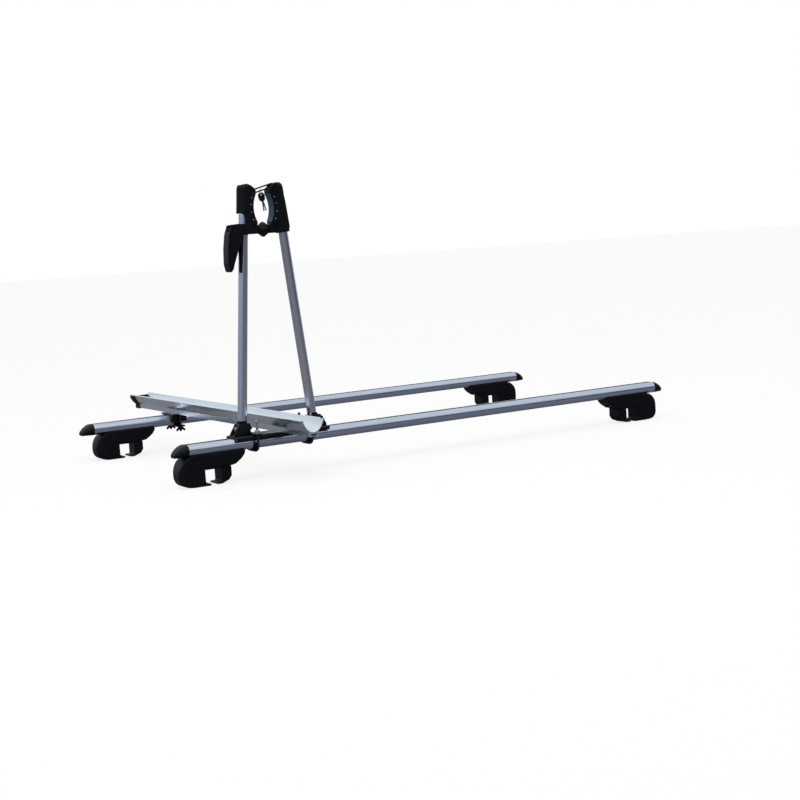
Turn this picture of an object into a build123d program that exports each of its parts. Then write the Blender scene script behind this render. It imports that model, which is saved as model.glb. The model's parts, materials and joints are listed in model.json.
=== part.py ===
"""Roof mounted bike carrier on its two crossbars.

Millimetres. +X runs along the crossbars, +Y from the front bar to the rear bar, +Z up.
X = 0 is the middle of the bars, Y = 0 the middle of the wheel tray, Z = 0 the underside of the feet.
"""
import os
from math import atan2, cos, degrees, radians, sin, tan

from build123d import *

os.makedirs("parts", exist_ok=True)

# Crossbars
BAR_LENGTH = 1350.0
BAR_DEPTH = 50.0
BAR_HEIGHT = 28.0
BAR_WALL = 2.0
BAR_SPACING = 655.0
SLOT_MOUTH = 11.0
SLOT_WIDTH = 20.0
SLOT_DEPTH = 6.0
STRIP_CROWN = 0.4
CAP_LENGTH = 32.0
CAP_PROUD = 0.5
SPIGOT_LENGTH = 20.0

# Rail feet
FOOT_INSETS = {"front_left": -1.0, "front_right": 23.0, "rear_left": 29.0, "rear_right": 29.0}
FOOT_LENGTH = 138.0
FOOT_WIDTH = 48.0
FOOT_DROP = 70.0
FOOT_HUG = 5.0
FOOT_BULGE = 28.0
COVER_WIDTH = 52.0
COVER_WALL = 3.0
SADDLE_DROP = 30.0
RAIL_WIDTH = 38.0
RAIL_HEIGHT = 31.5
RAIL_INSET = 37.0
RAIL_PLAY = 1.0
RAIL_PAD = 2.5
HOOK_REACH = 13.0
JAW_LENGTH = 25.0
JAW_WIDTH = 44.0
JAW_TRAVEL = 24.0
JAW_LIFT = 1.0
LUG_WIDTH = 15.0
LUG_LENGTH = 14.0
LUG_HEIGHT = 15.0
CLAMP_BOLT = 6.0
COVER_SCREW = 6.0

# Carrier on the bars
CARRIER_INSET = 235.0
BASE_LENGTH = 240.0
BASE_WIDTH = 60.0
BASE_STEEL = 4.0
BASE_FLANGE = 11.0
PIVOT_HEIGHT = 16.0
PIVOT_HALF = 91.4
PIVOT_BOLT = 8.0
BRACKET_STEEL = 2.5
BRACKET_HEIGHT = 28.0
BRACKET_BACK = 10.0
GUSSET_REACH = 14.0
U_BOLT_HALF = 70.0
U_BOLT_SPREAD = 70.0
U_BOLT_ROD = 8.0
BRIDGE_WIDTH = 14.0
PAD_THICKNESS = 3.0
PAD_WIDTH = 13.0

# A-frame
TUBE = 22.0
TUBE_WALL = 1.5
TUBE_LEAN = 5.22
TUBE_START = 17.5
TUBE_SHORT = 34.0
FORK_WIDTH = 18.0
JAW_THICK = 28.0
SLEEVE = 32.0
JAW_TALL = 116.0
LEFT_SLEEVE_RISE = 51.0
GRIP_HALF = 25.0
GRIP_RISE = 26.0
GRIP_TALL = 64.0
GRIP_PAD = 4.0
GRIP_PAD_WIDTH = 22.0
JAW_SCREW = 4.0

# Clamp lever, draw rod and link
LINK_HEIGHT = 487.5
LINK_RISE = 9.5
LINK_TALL = 19.0
LINK_DEEP = 19.0
ROD = 8.0
KNOB = 35.0
LEVER_X = 77.0
LEVER_WIDTH = 30.0
LEVER_PIN = 5.0
LEVER_SWEEP = 120.0
CAM_LIFT = 8.0
EYE = 12.0

# Latch strap, lock and keys
STRAP_REACH = {"left": -25.0, "right": 30.0}
STRAP_RISE = {"left": 95.0, "right": 109.5}
STRAP_TALL = 11.0
STRAP_THICK = 3.0
STRAP_WINDOW = 4.5
STRAP_PIN = 4.0
CATCH = 6.0
LOCK = 12.0
KEY_RING = 12.0
KEY_WIRE = 1.4
KEY_BOW_WIDTH = 15.0
KEY_BOW_HEIGHT = 21.0
KEY_BOW_THICK = 2.8
KEY_BLADE_LENGTH = 22.0
KEY_BLADE_WIDTH = 3.2
KEY_BLADE_THICK = 1.2

# Wheel tray
TRAY_LENGTH = 1100.0
TRAY_OVERHANG = 185.0
TRAY_WIDTH = 55.0
TRAY_HEIGHT = 38.0
TRAY_WALL = 2.0
TRAY_LIP = 4.4
RAIL_BAND = 24.0
TRAY_SLOT = 15.0
TRAY_MOUTH = 7.0
TRAY_SLOT_DEPTH = 4.5
TRAY_SLOT_LIP = 2.5
TRAY_CAP_LENGTH = 24.0
TRAY_CAP_WALL = 2.0
TRAY_CAP_END = 4.0

# Rear tray clamp
CLAMP_WIDTH = 44.0
CLAMP_DEPTH = 86.0
CLAMP_LEG = 19.0
CLAMP_BOLT_SPREAD = 72.0
TRAY_BOLT = 6.0
LOWER_PLATE = 22.0
WING_SPAN = 26.0
WING_HEIGHT = 12.0

# Clearances
RUNNING = 0.05
GAP = 0.3
OVERRUN = 5.0

# Places worked out from the sizes above
BAR_Z = BAR_HEIGHT / 2 + FOOT_DROP
BAR_TOP = BAR_Z + BAR_HEIGHT / 2
BAR_BOTTOM = BAR_Z - BAR_HEIGHT / 2
TRAY_FRONT = -(TRAY_LENGTH + TRAY_CAP_END) / 2
TRAY_REAR = TRAY_FRONT + TRAY_LENGTH
FRONT_BAR_Y = TRAY_FRONT + TRAY_OVERHANG
REAR_BAR_Y = FRONT_BAR_Y + BAR_SPACING
BARS = {"front": FRONT_BAR_Y, "rear": REAR_BAR_Y}
BASE_TOP = BAR_TOP + BASE_STEEL
PIVOT_Z = BASE_TOP + PIVOT_HEIGHT
LEAN = radians(TUBE_LEAN)
CARRIER_X = CARRIER_INSET - BAR_LENGTH / 2
JAW_LOW = LINK_HEIGHT - LINK_RISE
JAW_HIGH = JAW_LOW + JAW_TALL
TUBE_TOP = JAW_HIGH - TUBE_SHORT
STRAP_LEFT = (STRAP_REACH["left"], JAW_LOW + STRAP_RISE["left"])
STRAP_RIGHT = (STRAP_REACH["right"], JAW_LOW + STRAP_RISE["right"])
LEFT, RIGHT = -1, 1
QUARTER_TURN = 90


def front_view(y):
    """Drawing plane that looks along +Y: local x is X and local y is Z."""
    return Plane.XZ.offset(-y)


def side_view(x):
    """Drawing plane that looks along -X: local x is Y and local y is Z."""
    return Plane.YZ.offset(x)


def save(piece, name):
    """Label a finished piece and write it under its name."""
    piece.part.label = name
    export_step(piece.part, f"parts/{name}.step")


def bar_section(y, grow):
    """Oval outline of a crossbar, grown on every side."""
    with Locations((y, BAR_Z)):
        SlotOverall(BAR_DEPTH + 2 * grow, BAR_HEIGHT + 2 * grow)


def axis_x(low, high, radius, y, z, mode=Mode.ADD):
    """Round rod along X."""
    with Locations(Location(((low + high) / 2, y, z), (0, QUARTER_TURN, 0))):
        Cylinder(radius, high - low, mode=mode)


def axis_y(low, high, radius, x, z, mode=Mode.ADD):
    """Round rod along Y."""
    with Locations(Location((x, (low + high) / 2, z), (QUARTER_TURN, 0, 0))):
        Cylinder(radius, high - low, mode=mode)


def axis_z(low, high, radius, x, y, mode=Mode.ADD):
    """Round rod along Z."""
    with Locations((x, y, (low + high) / 2)):
        Cylinder(radius, high - low, mode=mode)


def block(x, y, z, mode=Mode.ADD):
    """Square block from its ranges along the three axes."""
    with Locations(((x[0] + x[1]) / 2, (y[0] + y[1]) / 2, (z[0] + z[1]) / 2)):
        Box(x[1] - x[0], y[1] - y[0], z[1] - z[0], mode=mode)


# Crossbars: hollow oval extrusion with a T-slot on top and holes below for the foot bolts
BOLT_PAIR = 14.0
BAR_BOLT = 6.0
BAR_BOLT_INSET = RAIL_INSET + RAIL_WIDTH / 2
slot_box_width = SLOT_WIDTH + 2 * BAR_WALL
slot_box_height = SLOT_DEPTH + 2 * BAR_WALL
slot_floor = BAR_TOP - BAR_WALL - SLOT_DEPTH


def foot_side(corner):
    """-1 for a left foot and 1 for a right foot."""
    return RIGHT if corner.endswith("right") else LEFT


def foot_x(corner, inward):
    """X of a point that lies a distance inward from a foot's outer top edge."""
    return foot_side(corner) * (BAR_LENGTH / 2 - FOOT_INSETS[corner] - inward)


for bar_name, bar_y in BARS.items():
    with BuildPart() as bar:
        with BuildSketch(side_view(-BAR_LENGTH / 2)):
            bar_section(bar_y, 0)
            with Locations((bar_y, BAR_Z)):
                SlotOverall(BAR_DEPTH - 2 * BAR_WALL, BAR_HEIGHT - 2 * BAR_WALL, mode=Mode.SUBTRACT)
            with Locations((bar_y, BAR_TOP - slot_box_height / 2)):
                Rectangle(slot_box_width, slot_box_height)
            with Locations((bar_y, slot_floor + SLOT_DEPTH / 2)):
                Rectangle(SLOT_WIDTH, SLOT_DEPTH, mode=Mode.SUBTRACT)
            with Locations((bar_y, BAR_TOP)):
                Rectangle(SLOT_MOUTH, 2 * BAR_WALL + OVERRUN, mode=Mode.SUBTRACT)
        extrude(amount=BAR_LENGTH)
        for corner in FOOT_INSETS:
            if corner.startswith(bar_name):
                for side in (LEFT, RIGHT):
                    axis_z(
                        BAR_BOTTOM - OVERRUN, BAR_BOTTOM + BAR_WALL + GAP, BAR_BOLT / 2 + GAP,
                        foot_x(corner, BAR_BOLT_INSET), bar_y + side * BOLT_PAIR / 2, Mode.SUBTRACT,
                    )
    save(bar, f"{bar_name}_bar")

# Rubber strips that close the T-slots on both sides of the carrier
carrier_halves = {"front": BASE_LENGTH / 2, "rear": CLAMP_WIDTH / 2}
with BuildPart() as slot_strips:
    for bar_name, bar_y in BARS.items():
        half = carrier_halves[bar_name]
        spans = (
            (-BAR_LENGTH / 2, CARRIER_X - half - GAP),
            (CARRIER_X + half + GAP, BAR_LENGTH / 2),
        )
        for start, end in spans:
            with BuildSketch(side_view(start)):
                with Locations((bar_y, BAR_TOP - BAR_WALL - BAR_WALL / 2)):
                    Rectangle(SLOT_WIDTH - 2 * GAP, BAR_WALL)
                with Locations((bar_y, BAR_TOP - BAR_WALL / 2 + STRIP_CROWN / 2)):
                    Rectangle(SLOT_MOUTH - 2 * GAP, BAR_WALL + STRIP_CROWN)
            extrude(amount=end - start)
save(slot_strips, "slot_strips")

# Slanted end caps: share of the length, share of the section, share of the drop below the bar's centre
cap_shares = ((0.0, 1.0, 1.0, 0.0), (0.32, 0.98, 0.9, 0.1), (0.7, 0.82, 0.62, 0.5), (1.0, 0.5, 0.3, 1.0))
CAP_DROP = 9.0
with BuildPart() as end_caps:
    for bar_y in BARS.values():
        for side in (LEFT, RIGHT):
            for along, wide, tall, low in cap_shares:
                with BuildSketch(side_view(side * (BAR_LENGTH / 2 + along * CAP_LENGTH))):
                    with Locations((bar_y, BAR_Z - low * CAP_DROP)):
                        SlotOverall((BAR_DEPTH + 2 * CAP_PROUD) * wide, (BAR_HEIGHT + 2 * CAP_PROUD) * tall)
            loft()
            with BuildSketch(side_view(side * BAR_LENGTH / 2)):
                with Locations((bar_y, BAR_BOTTOM + BAR_WALL + GAP + SLOT_DEPTH)):
                    Rectangle(BAR_DEPTH / 2, 2 * SLOT_DEPTH)
            extrude(amount=-side * SPIGOT_LENGTH)
save(end_caps, "end_caps")

# Rail feet: body, outer cover, sliding jaw, clamp bolt, rail pad and bar bolts
SEAT_Z = BAR_BOTTOM - SADDLE_DROP
RAIL_TOP = SEAT_Z - RAIL_PAD
RAIL_FLOOR = RAIL_TOP - RAIL_HEIGHT
BOLT_Z = SEAT_Z + LUG_HEIGHT / 2
JAW_INSET = RAIL_INSET + RAIL_WIDTH + RAIL_PLAY
COVER_INSET = 4.0
HEAD_LENGTH = 8.0
HEAD_RADIUS = 5.0
nose_shares = ((1.0, 0.10), (0.985, 0.36), (0.93, 0.62), (0.81, 0.95))
bulge_shares = ((0.0, 0.95), (0.52, 0.82), (0.87, 0.62), (1.0, 0.4), (0.8, 0.17), (0.3, 0.03))
claw_shares = ((1.0, 0.45), (0.72, 0.2))


def foot_point(corner, inward, z):
    """Point of a foot's outline in its front view."""
    return (foot_x(corner, inward), z)


for corner in FOOT_INSETS:
    side = foot_side(corner)
    bar_y = FRONT_BAR_Y if corner.startswith("front") else REAR_BAR_Y
    half = FOOT_WIDTH / 2
    bolt_x = foot_x(corner, BAR_BOLT_INSET)
    slot_ends = sorted((foot_x(corner, JAW_INSET), foot_x(corner, JAW_INSET + JAW_LENGTH + JAW_TRAVEL - GAP)))
    bolt_ends = sorted((foot_x(corner, COVER_INSET), foot_x(corner, JAW_INSET + JAW_LENGTH + JAW_TRAVEL / 2)))
    arm_top = BAR_BOTTOM + FOOT_HUG
    hook = RAIL_INSET - RAIL_PLAY
    nose = [foot_point(corner, FOOT_LENGTH * a, arm_top - (arm_top - SEAT_Z) * b) for a, b in nose_shares]
    start = foot_point(corner, COVER_INSET, arm_top)
    nose_top = foot_point(corner, FOOT_LENGTH - FOOT_HUG, arm_top)
    with BuildPart() as foot_body:
        with BuildSketch(front_view(bar_y)):
            with BuildLine():
                Line(start, nose_top)
                Spline(nose_top, *nose)
                Polyline(
                    nose[-1], foot_point(corner, JAW_INSET + JAW_LENGTH, SEAT_Z),
                    foot_point(corner, hook, SEAT_Z), foot_point(corner, hook, RAIL_FLOOR),
                    foot_point(corner, hook + HOOK_REACH, RAIL_FLOOR - RAIL_PLAY),
                    foot_point(corner, hook + HOOK_REACH, 0), foot_point(corner, COVER_INSET, 0), start,
                )
            make_face()
        extrude(amount=half, both=True)
        with BuildSketch(side_view(-BAR_LENGTH)):
            bar_section(bar_y, 0)
        extrude(amount=2 * BAR_LENGTH, mode=Mode.SUBTRACT)
        block(
            slot_ends, (bar_y - LUG_WIDTH / 2 - GAP, bar_y + LUG_WIDTH / 2 + GAP),
            (SEAT_Z - OVERRUN, SEAT_Z + LUG_HEIGHT + GAP), Mode.SUBTRACT,
        )
        axis_x(*bolt_ends, CLAMP_BOLT / 2 + GAP, bar_y, BOLT_Z, Mode.SUBTRACT)
        for pair in (LEFT, RIGHT):
            bolt_y = bar_y + pair * BOLT_PAIR / 2
            axis_z(SEAT_Z - OVERRUN, BAR_TOP, BAR_BOLT / 2 + GAP, bolt_x, bolt_y, Mode.SUBTRACT)
            axis_z(
                SEAT_Z - OVERRUN, SEAT_Z + BAR_BOLT / 2, BAR_BOLT * 2 / 3 + GAP, bolt_x, bolt_y, Mode.SUBTRACT
            )
        axis_y(
            bar_y - half - OVERRUN, bar_y - half + COVER_WALL, COVER_SCREW / 2,
            foot_x(corner, BAR_HEIGHT / 2 + COVER_WALL), BAR_BOTTOM - BAR_HEIGHT / 2 + COVER_WALL,
            Mode.SUBTRACT,
        )
    save(foot_body, f"{corner}_foot_body")

    bulge = [foot_point(corner, -FOOT_BULGE * a, (BAR_BOTTOM + FOOT_HUG) * b) for a, b in bulge_shares]
    wall_bulge = [
        foot_point(corner, COVER_WALL - FOOT_BULGE * a, COVER_WALL + (BAR_BOTTOM - COVER_WALL) * b)
        for a, b in bulge_shares
    ]
    with BuildPart() as foot_cover:
        with BuildSketch(front_view(bar_y)):
            with BuildLine():
                Spline(*bulge)
                Polyline(
                    bulge[-1], foot_point(corner, COVER_INSET, 0),
                    foot_point(corner, COVER_INSET, (BAR_BOTTOM + FOOT_HUG) * bulge_shares[0][1]), bulge[0],
                )
            make_face()
        extrude(amount=COVER_WIDTH / 2, both=True)
        with BuildSketch(Plane.XY):
            with Locations((foot_x(corner, FOOT_BULGE), bar_y)):
                RectangleRounded(4 * FOOT_BULGE, COVER_WIDTH, COVER_WIDTH / 4)
        extrude(amount=BAR_TOP, mode=Mode.INTERSECT)
        with BuildSketch(front_view(bar_y)):
            with BuildLine():
                Spline(*wall_bulge)
                Polyline(
                    wall_bulge[-1], foot_point(corner, COVER_INSET + OVERRUN, wall_bulge[-1][1]),
                    foot_point(corner, COVER_INSET + OVERRUN, wall_bulge[0][1]), wall_bulge[0],
                )
            make_face()
        extrude(amount=COVER_WIDTH / 2 - 3 * COVER_WALL, both=True, mode=Mode.SUBTRACT)
        with BuildSketch(side_view(-BAR_LENGTH)):
            bar_section(bar_y, CAP_PROUD + GAP)
        extrude(amount=2 * BAR_LENGTH, mode=Mode.SUBTRACT)
    save(foot_cover, f"{corner}_foot_cover")

    lug = sorted((foot_x(corner, JAW_INSET + OVERRUN), foot_x(corner, JAW_INSET + OVERRUN + LUG_LENGTH)))
    claw = [foot_point(corner, JAW_INSET + JAW_LENGTH * a, SEAT_Z * b) for a, b in claw_shares]
    with BuildPart() as rail_jaw:
        with BuildSketch(front_view(bar_y)):
            with BuildLine():
                Polyline(
                    foot_point(corner, JAW_INSET, SEAT_Z - GAP),
                    foot_point(corner, JAW_INSET + JAW_LENGTH, SEAT_Z - GAP), *claw,
                    foot_point(corner, JAW_INSET, JAW_LIFT),
                    foot_point(corner, JAW_INSET - HOOK_REACH, JAW_LIFT),
                    foot_point(corner, JAW_INSET - HOOK_REACH, RAIL_FLOOR - RAIL_PLAY),
                    foot_point(corner, JAW_INSET, RAIL_FLOOR), foot_point(corner, JAW_INSET, SEAT_Z - GAP),
                )
            make_face()
        extrude(amount=JAW_WIDTH / 2, both=True)
        block(
            lug, (bar_y - LUG_WIDTH / 2, bar_y + LUG_WIDTH / 2),
            (SEAT_Z - OVERRUN, SEAT_Z + LUG_HEIGHT - GAP),
        )
        axis_x(lug[0] - OVERRUN, lug[1] + OVERRUN, CLAMP_BOLT / 2 + RUNNING, bar_y, BOLT_Z, Mode.SUBTRACT)
    save(rail_jaw, f"{corner}_rail_jaw")

with BuildPart() as rail_pads:
    for corner in FOOT_INSETS:
        bar_y = FRONT_BAR_Y if corner.startswith("front") else REAR_BAR_Y
        ends = sorted((foot_x(corner, RAIL_INSET), foot_x(corner, RAIL_INSET + RAIL_WIDTH)))
        block(ends, (bar_y - FOOT_WIDTH / 2, bar_y + FOOT_WIDTH / 2), (RAIL_TOP, SEAT_Z))
save(rail_pads, "rail_pads")

# Foot bolts: the clamp bolt that draws in the jaw, and the two bar bolts with their nut plate inside the bar
NUT_PLATE = 4.0
with BuildPart() as foot_bolts:
    for corner in FOOT_INSETS:
        side = foot_side(corner)
        bar_y = FRONT_BAR_Y if corner.startswith("front") else REAR_BAR_Y
        shank = sorted(
            (foot_x(corner, COVER_INSET), foot_x(corner, JAW_INSET + JAW_LENGTH + JAW_TRAVEL / 2 - GAP))
        )
        head = sorted((foot_x(corner, COVER_INSET), foot_x(corner, COVER_INSET - HEAD_LENGTH)))
        socket = sorted(
            (foot_x(corner, COVER_INSET - HEAD_LENGTH), foot_x(corner, COVER_INSET - HEAD_LENGTH / 2))
        )
        axis_x(*shank, CLAMP_BOLT / 2, bar_y, BOLT_Z)
        axis_x(*head, HEAD_RADIUS, bar_y, BOLT_Z)
        axis_x(*socket, HEAD_RADIUS / 2, bar_y, BOLT_Z, Mode.SUBTRACT)
        bolt_x = foot_x(corner, BAR_BOLT_INSET)
        plate_z = BAR_BOTTOM + BAR_WALL
        for pair in (LEFT, RIGHT):
            bolt_y = bar_y + pair * BOLT_PAIR / 2
            axis_z(SEAT_Z + BAR_BOLT, plate_z + NUT_PLATE, BAR_BOLT / 2, bolt_x, bolt_y)
        plate_half = (BOLT_PAIR + BAR_BOLT) / 2
        block(
            (bolt_x - plate_half, bolt_x + plate_half), (bar_y - plate_half, bar_y + plate_half),
            (plate_z, plate_z + NUT_PLATE),
        )
save(foot_bolts, "foot_bolts")

# Carrier base: folded steel saddle over the front bar
flange_ends = (
    (-BASE_WIDTH / 2, -BAR_DEPTH / 2 - RAIL_PLAY), (BAR_DEPTH / 2 + RAIL_PLAY, BASE_WIDTH / 2)
)
with BuildPart() as base_saddle:
    for low, high in flange_ends:
        block(
            (CARRIER_X - BASE_LENGTH / 2, CARRIER_X + BASE_LENGTH / 2),
            (FRONT_BAR_Y + low, FRONT_BAR_Y + high), (BAR_TOP - BASE_FLANGE, BASE_TOP),
        )
    block(
        (CARRIER_X - BASE_LENGTH / 2, CARRIER_X + BASE_LENGTH / 2),
        (FRONT_BAR_Y - BASE_WIDTH / 2, FRONT_BAR_Y + BASE_WIDTH / 2), (BAR_TOP, BASE_TOP),
    )
    outer_edges = base_saddle.edges().filter_by(Axis.X).group_by(Axis.Z)[-1]
    fillet(outer_edges, BASE_STEEL * 3 / 4)
    for side in (LEFT, RIGHT):
        axis_z(
            BAR_TOP - OVERRUN, BASE_TOP + OVERRUN, TRAY_BOLT / 2 + RUNNING,
            CARRIER_X, FRONT_BAR_Y + side * BASE_WIDTH / 4, Mode.SUBTRACT,
        )
save(base_saddle, "base_saddle")

# Foot brackets: steel channel with a closed front, two triangular gussets and the pivot bolt's holes
fork_gap = TUBE / 2 + GAP
bracket_out = fork_gap + BRACKET_STEEL
bracket_front = TUBE / 2 + 2 * BRACKET_STEEL
for side, name in ((LEFT, "left"), (RIGHT, "right")):
    foot_at = CARRIER_X + side * PIVOT_HALF
    outer = sorted((foot_at + side * fork_gap, foot_at + side * bracket_out))
    inner = sorted((foot_at - side * fork_gap, foot_at - side * bracket_out))
    deep = (FRONT_BAR_Y - bracket_front, FRONT_BAR_Y + BRACKET_BACK)
    with BuildPart() as foot_bracket:
        for wall in (outer, inner):
            block(wall, deep, (BASE_TOP, BASE_TOP + BRACKET_HEIGHT))
        block(
            (foot_at - bracket_out, foot_at + bracket_out),
            (FRONT_BAR_Y - bracket_front, FRONT_BAR_Y - bracket_front + BRACKET_STEEL),
            (BASE_TOP, BASE_TOP + BRACKET_HEIGHT),
        )
        floor_ends = sorted((foot_at - side * bracket_out, foot_at + side * (bracket_out + GUSSET_REACH)))
        block(
            floor_ends, (FRONT_BAR_Y - bracket_front, FRONT_BAR_Y + bracket_front),
            (BASE_TOP, BASE_TOP + BRACKET_STEEL),
        )
        for rib_y in (deep[0], deep[1] - BRACKET_STEEL):
            with BuildSketch(front_view(rib_y + BRACKET_STEEL)):
                with BuildLine():
                    Polyline(
                        (foot_at + side * bracket_out, BASE_TOP + BRACKET_HEIGHT),
                        (foot_at + side * (bracket_out + GUSSET_REACH), BASE_TOP + 2 * BRACKET_STEEL),
                        (foot_at + side * (bracket_out + GUSSET_REACH), BASE_TOP),
                        (foot_at + side * bracket_out, BASE_TOP), close=True,
                    )
                make_face()
            extrude(amount=BRACKET_STEEL)
        axis_x(
            foot_at - 2 * bracket_out, foot_at + 2 * bracket_out, PIVOT_BOLT / 2 + RUNNING,
            FRONT_BAR_Y, PIVOT_Z, Mode.SUBTRACT,
        )
    save(foot_bracket, f"{name}_foot_bracket")

    head = sorted(
        (foot_at + side * (bracket_out + RUNNING), foot_at + side * (bracket_out + PIVOT_BOLT * 2 / 3))
    )
    nut = sorted(
        (foot_at - side * (bracket_out + RUNNING), foot_at - side * (bracket_out + PIVOT_BOLT * 3 / 4))
    )
    shank = sorted(
        (foot_at + side * (bracket_out + PIVOT_BOLT / 2), foot_at - side * (bracket_out + PIVOT_BOLT * 5 / 4))
    )
    with BuildPart() as pivot_bolt:
        for ends in (head, nut):
            with BuildSketch(side_view(ends[0])):
                with Locations((FRONT_BAR_Y, PIVOT_Z)):
                    RegularPolygon(PIVOT_BOLT * 3 / 4, 6)
            extrude(amount=ends[1] - ends[0])
        axis_x(*shank, PIVOT_BOLT / 2, FRONT_BAR_Y, PIVOT_Z)
    save(pivot_bolt, f"{name}_pivot_bolt")

# U-bolts round the front bar, their lower pads, bridge plates, washers, rear nuts and front hand nuts
U_BEND = 13.0
WASHER = 18.0
WASHER_THICK = 1.5
NUT_ACROSS = 13.0
NUT_HEIGHT = 7.0
LOOP_WIRE = 3.0
LOOP_WIDTH = 9.0
LOOP_HEIGHT = 22.0
bridge_top = BASE_TOP + BASE_STEEL
washer_top = bridge_top + WASHER_THICK
rod_low = BAR_BOTTOM - PAD_THICKNESS - U_BOLT_ROD / 2
rod_high = washer_top + NUT_HEIGHT
with BuildPart() as u_bolts:
    for side in (LEFT, RIGHT):
        with BuildLine() as u_path:
            u_plane = side_view(CARRIER_X + side * U_BOLT_HALF)
            corners = [
                u_plane.from_local_coords((FRONT_BAR_Y + across * U_BOLT_SPREAD / 2, height))
                for across, height in ((LEFT, rod_high), (LEFT, rod_low), (RIGHT, rod_low), (RIGHT, rod_high))
            ]
            FilletPolyline(*corners, radius=U_BEND)
        with BuildSketch(Plane(origin=u_path.line @ 0, z_dir=u_path.line % 0)):
            Circle(U_BOLT_ROD / 2)
        sweep(path=u_path.line)
save(u_bolts, "u_bolts")

with BuildPart() as u_bolt_pads:
    for side in (LEFT, RIGHT):
        start = CARRIER_X + side * U_BOLT_HALF - PAD_WIDTH / 2
        with BuildSketch(side_view(start)):
            bar_section(FRONT_BAR_Y, PAD_THICKNESS)
            with Locations((FRONT_BAR_Y, BAR_Z)):
                SlotOverall(BAR_DEPTH, BAR_HEIGHT, mode=Mode.SUBTRACT)
            with Locations((FRONT_BAR_Y, BAR_Z + BAR_HEIGHT)):
                Rectangle(2 * BAR_DEPTH, 2 * BAR_HEIGHT, mode=Mode.SUBTRACT)
        extrude(amount=PAD_WIDTH)
save(u_bolt_pads, "u_bolt_pads")

with BuildPart() as u_bolt_nuts:
    for side in (LEFT, RIGHT):
        for across in (LEFT, RIGHT):
            at = (CARRIER_X + side * U_BOLT_HALF, FRONT_BAR_Y + across * U_BOLT_SPREAD / 2)
            with BuildSketch(Plane.XY.offset(bridge_top)):
                with Locations(at):
                    Circle(WASHER / 2)
                    Circle(U_BOLT_ROD / 2 + RUNNING, mode=Mode.SUBTRACT)
            extrude(amount=WASHER_THICK)
        with BuildSketch(Plane.XY.offset(washer_top)):
            with Locations(at):
                RegularPolygon(NUT_ACROSS / 2, 6, major_radius=False)
                Circle(U_BOLT_ROD / 2 + RUNNING, mode=Mode.SUBTRACT)
        extrude(amount=NUT_HEIGHT - GAP)
save(u_bolt_nuts, "u_bolt_nuts")

for side, name in ((LEFT, "left"), (RIGHT, "right")):
    at = (CARRIER_X + side * U_BOLT_HALF, FRONT_BAR_Y - U_BOLT_SPREAD / 2)
    hub_top = washer_top + NUT_HEIGHT
    loop_low = hub_top + LOOP_WIRE / 4
    with BuildPart() as hand_nut:
        axis_z(washer_top + RUNNING, hub_top + LOOP_WIRE / 2, NUT_ACROSS / 2, *at)
        axis_z(washer_top - OVERRUN, hub_top + RUNNING, U_BOLT_ROD / 2 + RUNNING, *at, Mode.SUBTRACT)
        with BuildLine() as loop_path:
            loop_plane = front_view(at[1])
            loop_corners = [
                loop_plane.from_local_coords((at[0] + across * LOOP_WIDTH / 2, height))
                for across, height in (
                    (LEFT, loop_low), (LEFT, hub_top + LOOP_HEIGHT),
                    (RIGHT, hub_top + LOOP_HEIGHT), (RIGHT, loop_low),
                )
            ]
            FilletPolyline(*loop_corners, radius=LOOP_WIDTH * 2 / 5)
        with BuildSketch(Plane(origin=loop_path.line @ 0, z_dir=loop_path.line % 0)):
            Circle(LOOP_WIRE / 2)
        sweep(path=loop_path.line)
    save(hand_nut, f"{name}_hand_nut")

# A-frame tubes, their fork feet, jaws, pads and screws
lean_step = tan(LEAN)


def tube_x(side, height):
    """X of a tube's centre line at a height above the pivots."""
    return CARRIER_X + side * (PIVOT_HALF - height * lean_step)


def tube_plane(side, along):
    """Plane square to a tube, at a distance along it from its pivot."""
    direction = (-side * sin(LEAN), 0, cos(LEAN))
    origin = (
        CARRIER_X + side * (PIVOT_HALF - along * sin(LEAN)), FRONT_BAR_Y, PIVOT_Z + along * cos(LEAN)
    )
    return Plane(origin=origin, x_dir=(cos(LEAN), 0, side * sin(LEAN)), z_dir=direction)


def holder(x, height):
    """Point of the frame holder's front view, from the carrier's middle and the bar's centre."""
    return (CARRIER_X + x, BAR_Z + height)


jaw_shares = {
    "foot": (1.36, 0.0), "link": (1.36, 0.164), "low": (0.68, 0.19), "middle": (1.02, 0.491),
    "high": (0.64, 0.81), "tip": (0.68, 0.871), "shoulder": (1.12, 0.965),
}
SCREW_HEAD_PROUD = 0.4
SCREW_LENGTH = 3.0
SCREW_INSET = 7.5
screw_shares = (0.276, 0.422, 0.578, 0.707)
PAD_PROUD = 1.0
SLEEVE_CAP = 30.0
STRAP_PLAY = 0.5
CATCH_NOTCH = 17.0
LOCK_REACH = 33.0
LOCK_RISE = 97.0
lock_at = holder(LOCK_REACH, JAW_LOW + LOCK_RISE)
SLEEVE_INNER = 14.0
link_z = BAR_Z + LINK_HEIGHT
pocket_x = (CARRIER_X, CARRIER_X + STRAP_RIGHT[0] + STRAP_TALL / 2 + 3 * STRAP_PLAY)
pocket_z = (BAR_Z + STRAP_RIGHT[1] - STRAP_TALL, BAR_Z + 2 * JAW_HIGH)
strap_slot = (FRONT_BAR_Y - STRAP_THICK / 2 - STRAP_PLAY, FRONT_BAR_Y + STRAP_THICK / 2 + STRAP_PLAY)


def jaw_point(side, name):
    """Corner of a jaw's outline in its front view."""
    along, up = jaw_shares[name]
    return holder(side * GRIP_HALF * along, JAW_LOW + (JAW_HIGH - JAW_LOW) * up)


def bar_height(height):
    """Height above the pivots of a height above the bar's centre."""
    return BAR_Z + height - PIVOT_Z


def link_ends(side):
    """Ends of a link sleeve along X."""
    return sorted((CARRIER_X + side * SLEEVE_INNER, CARRIER_X + side * GRIP_HALF * jaw_shares["foot"][0]))


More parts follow.
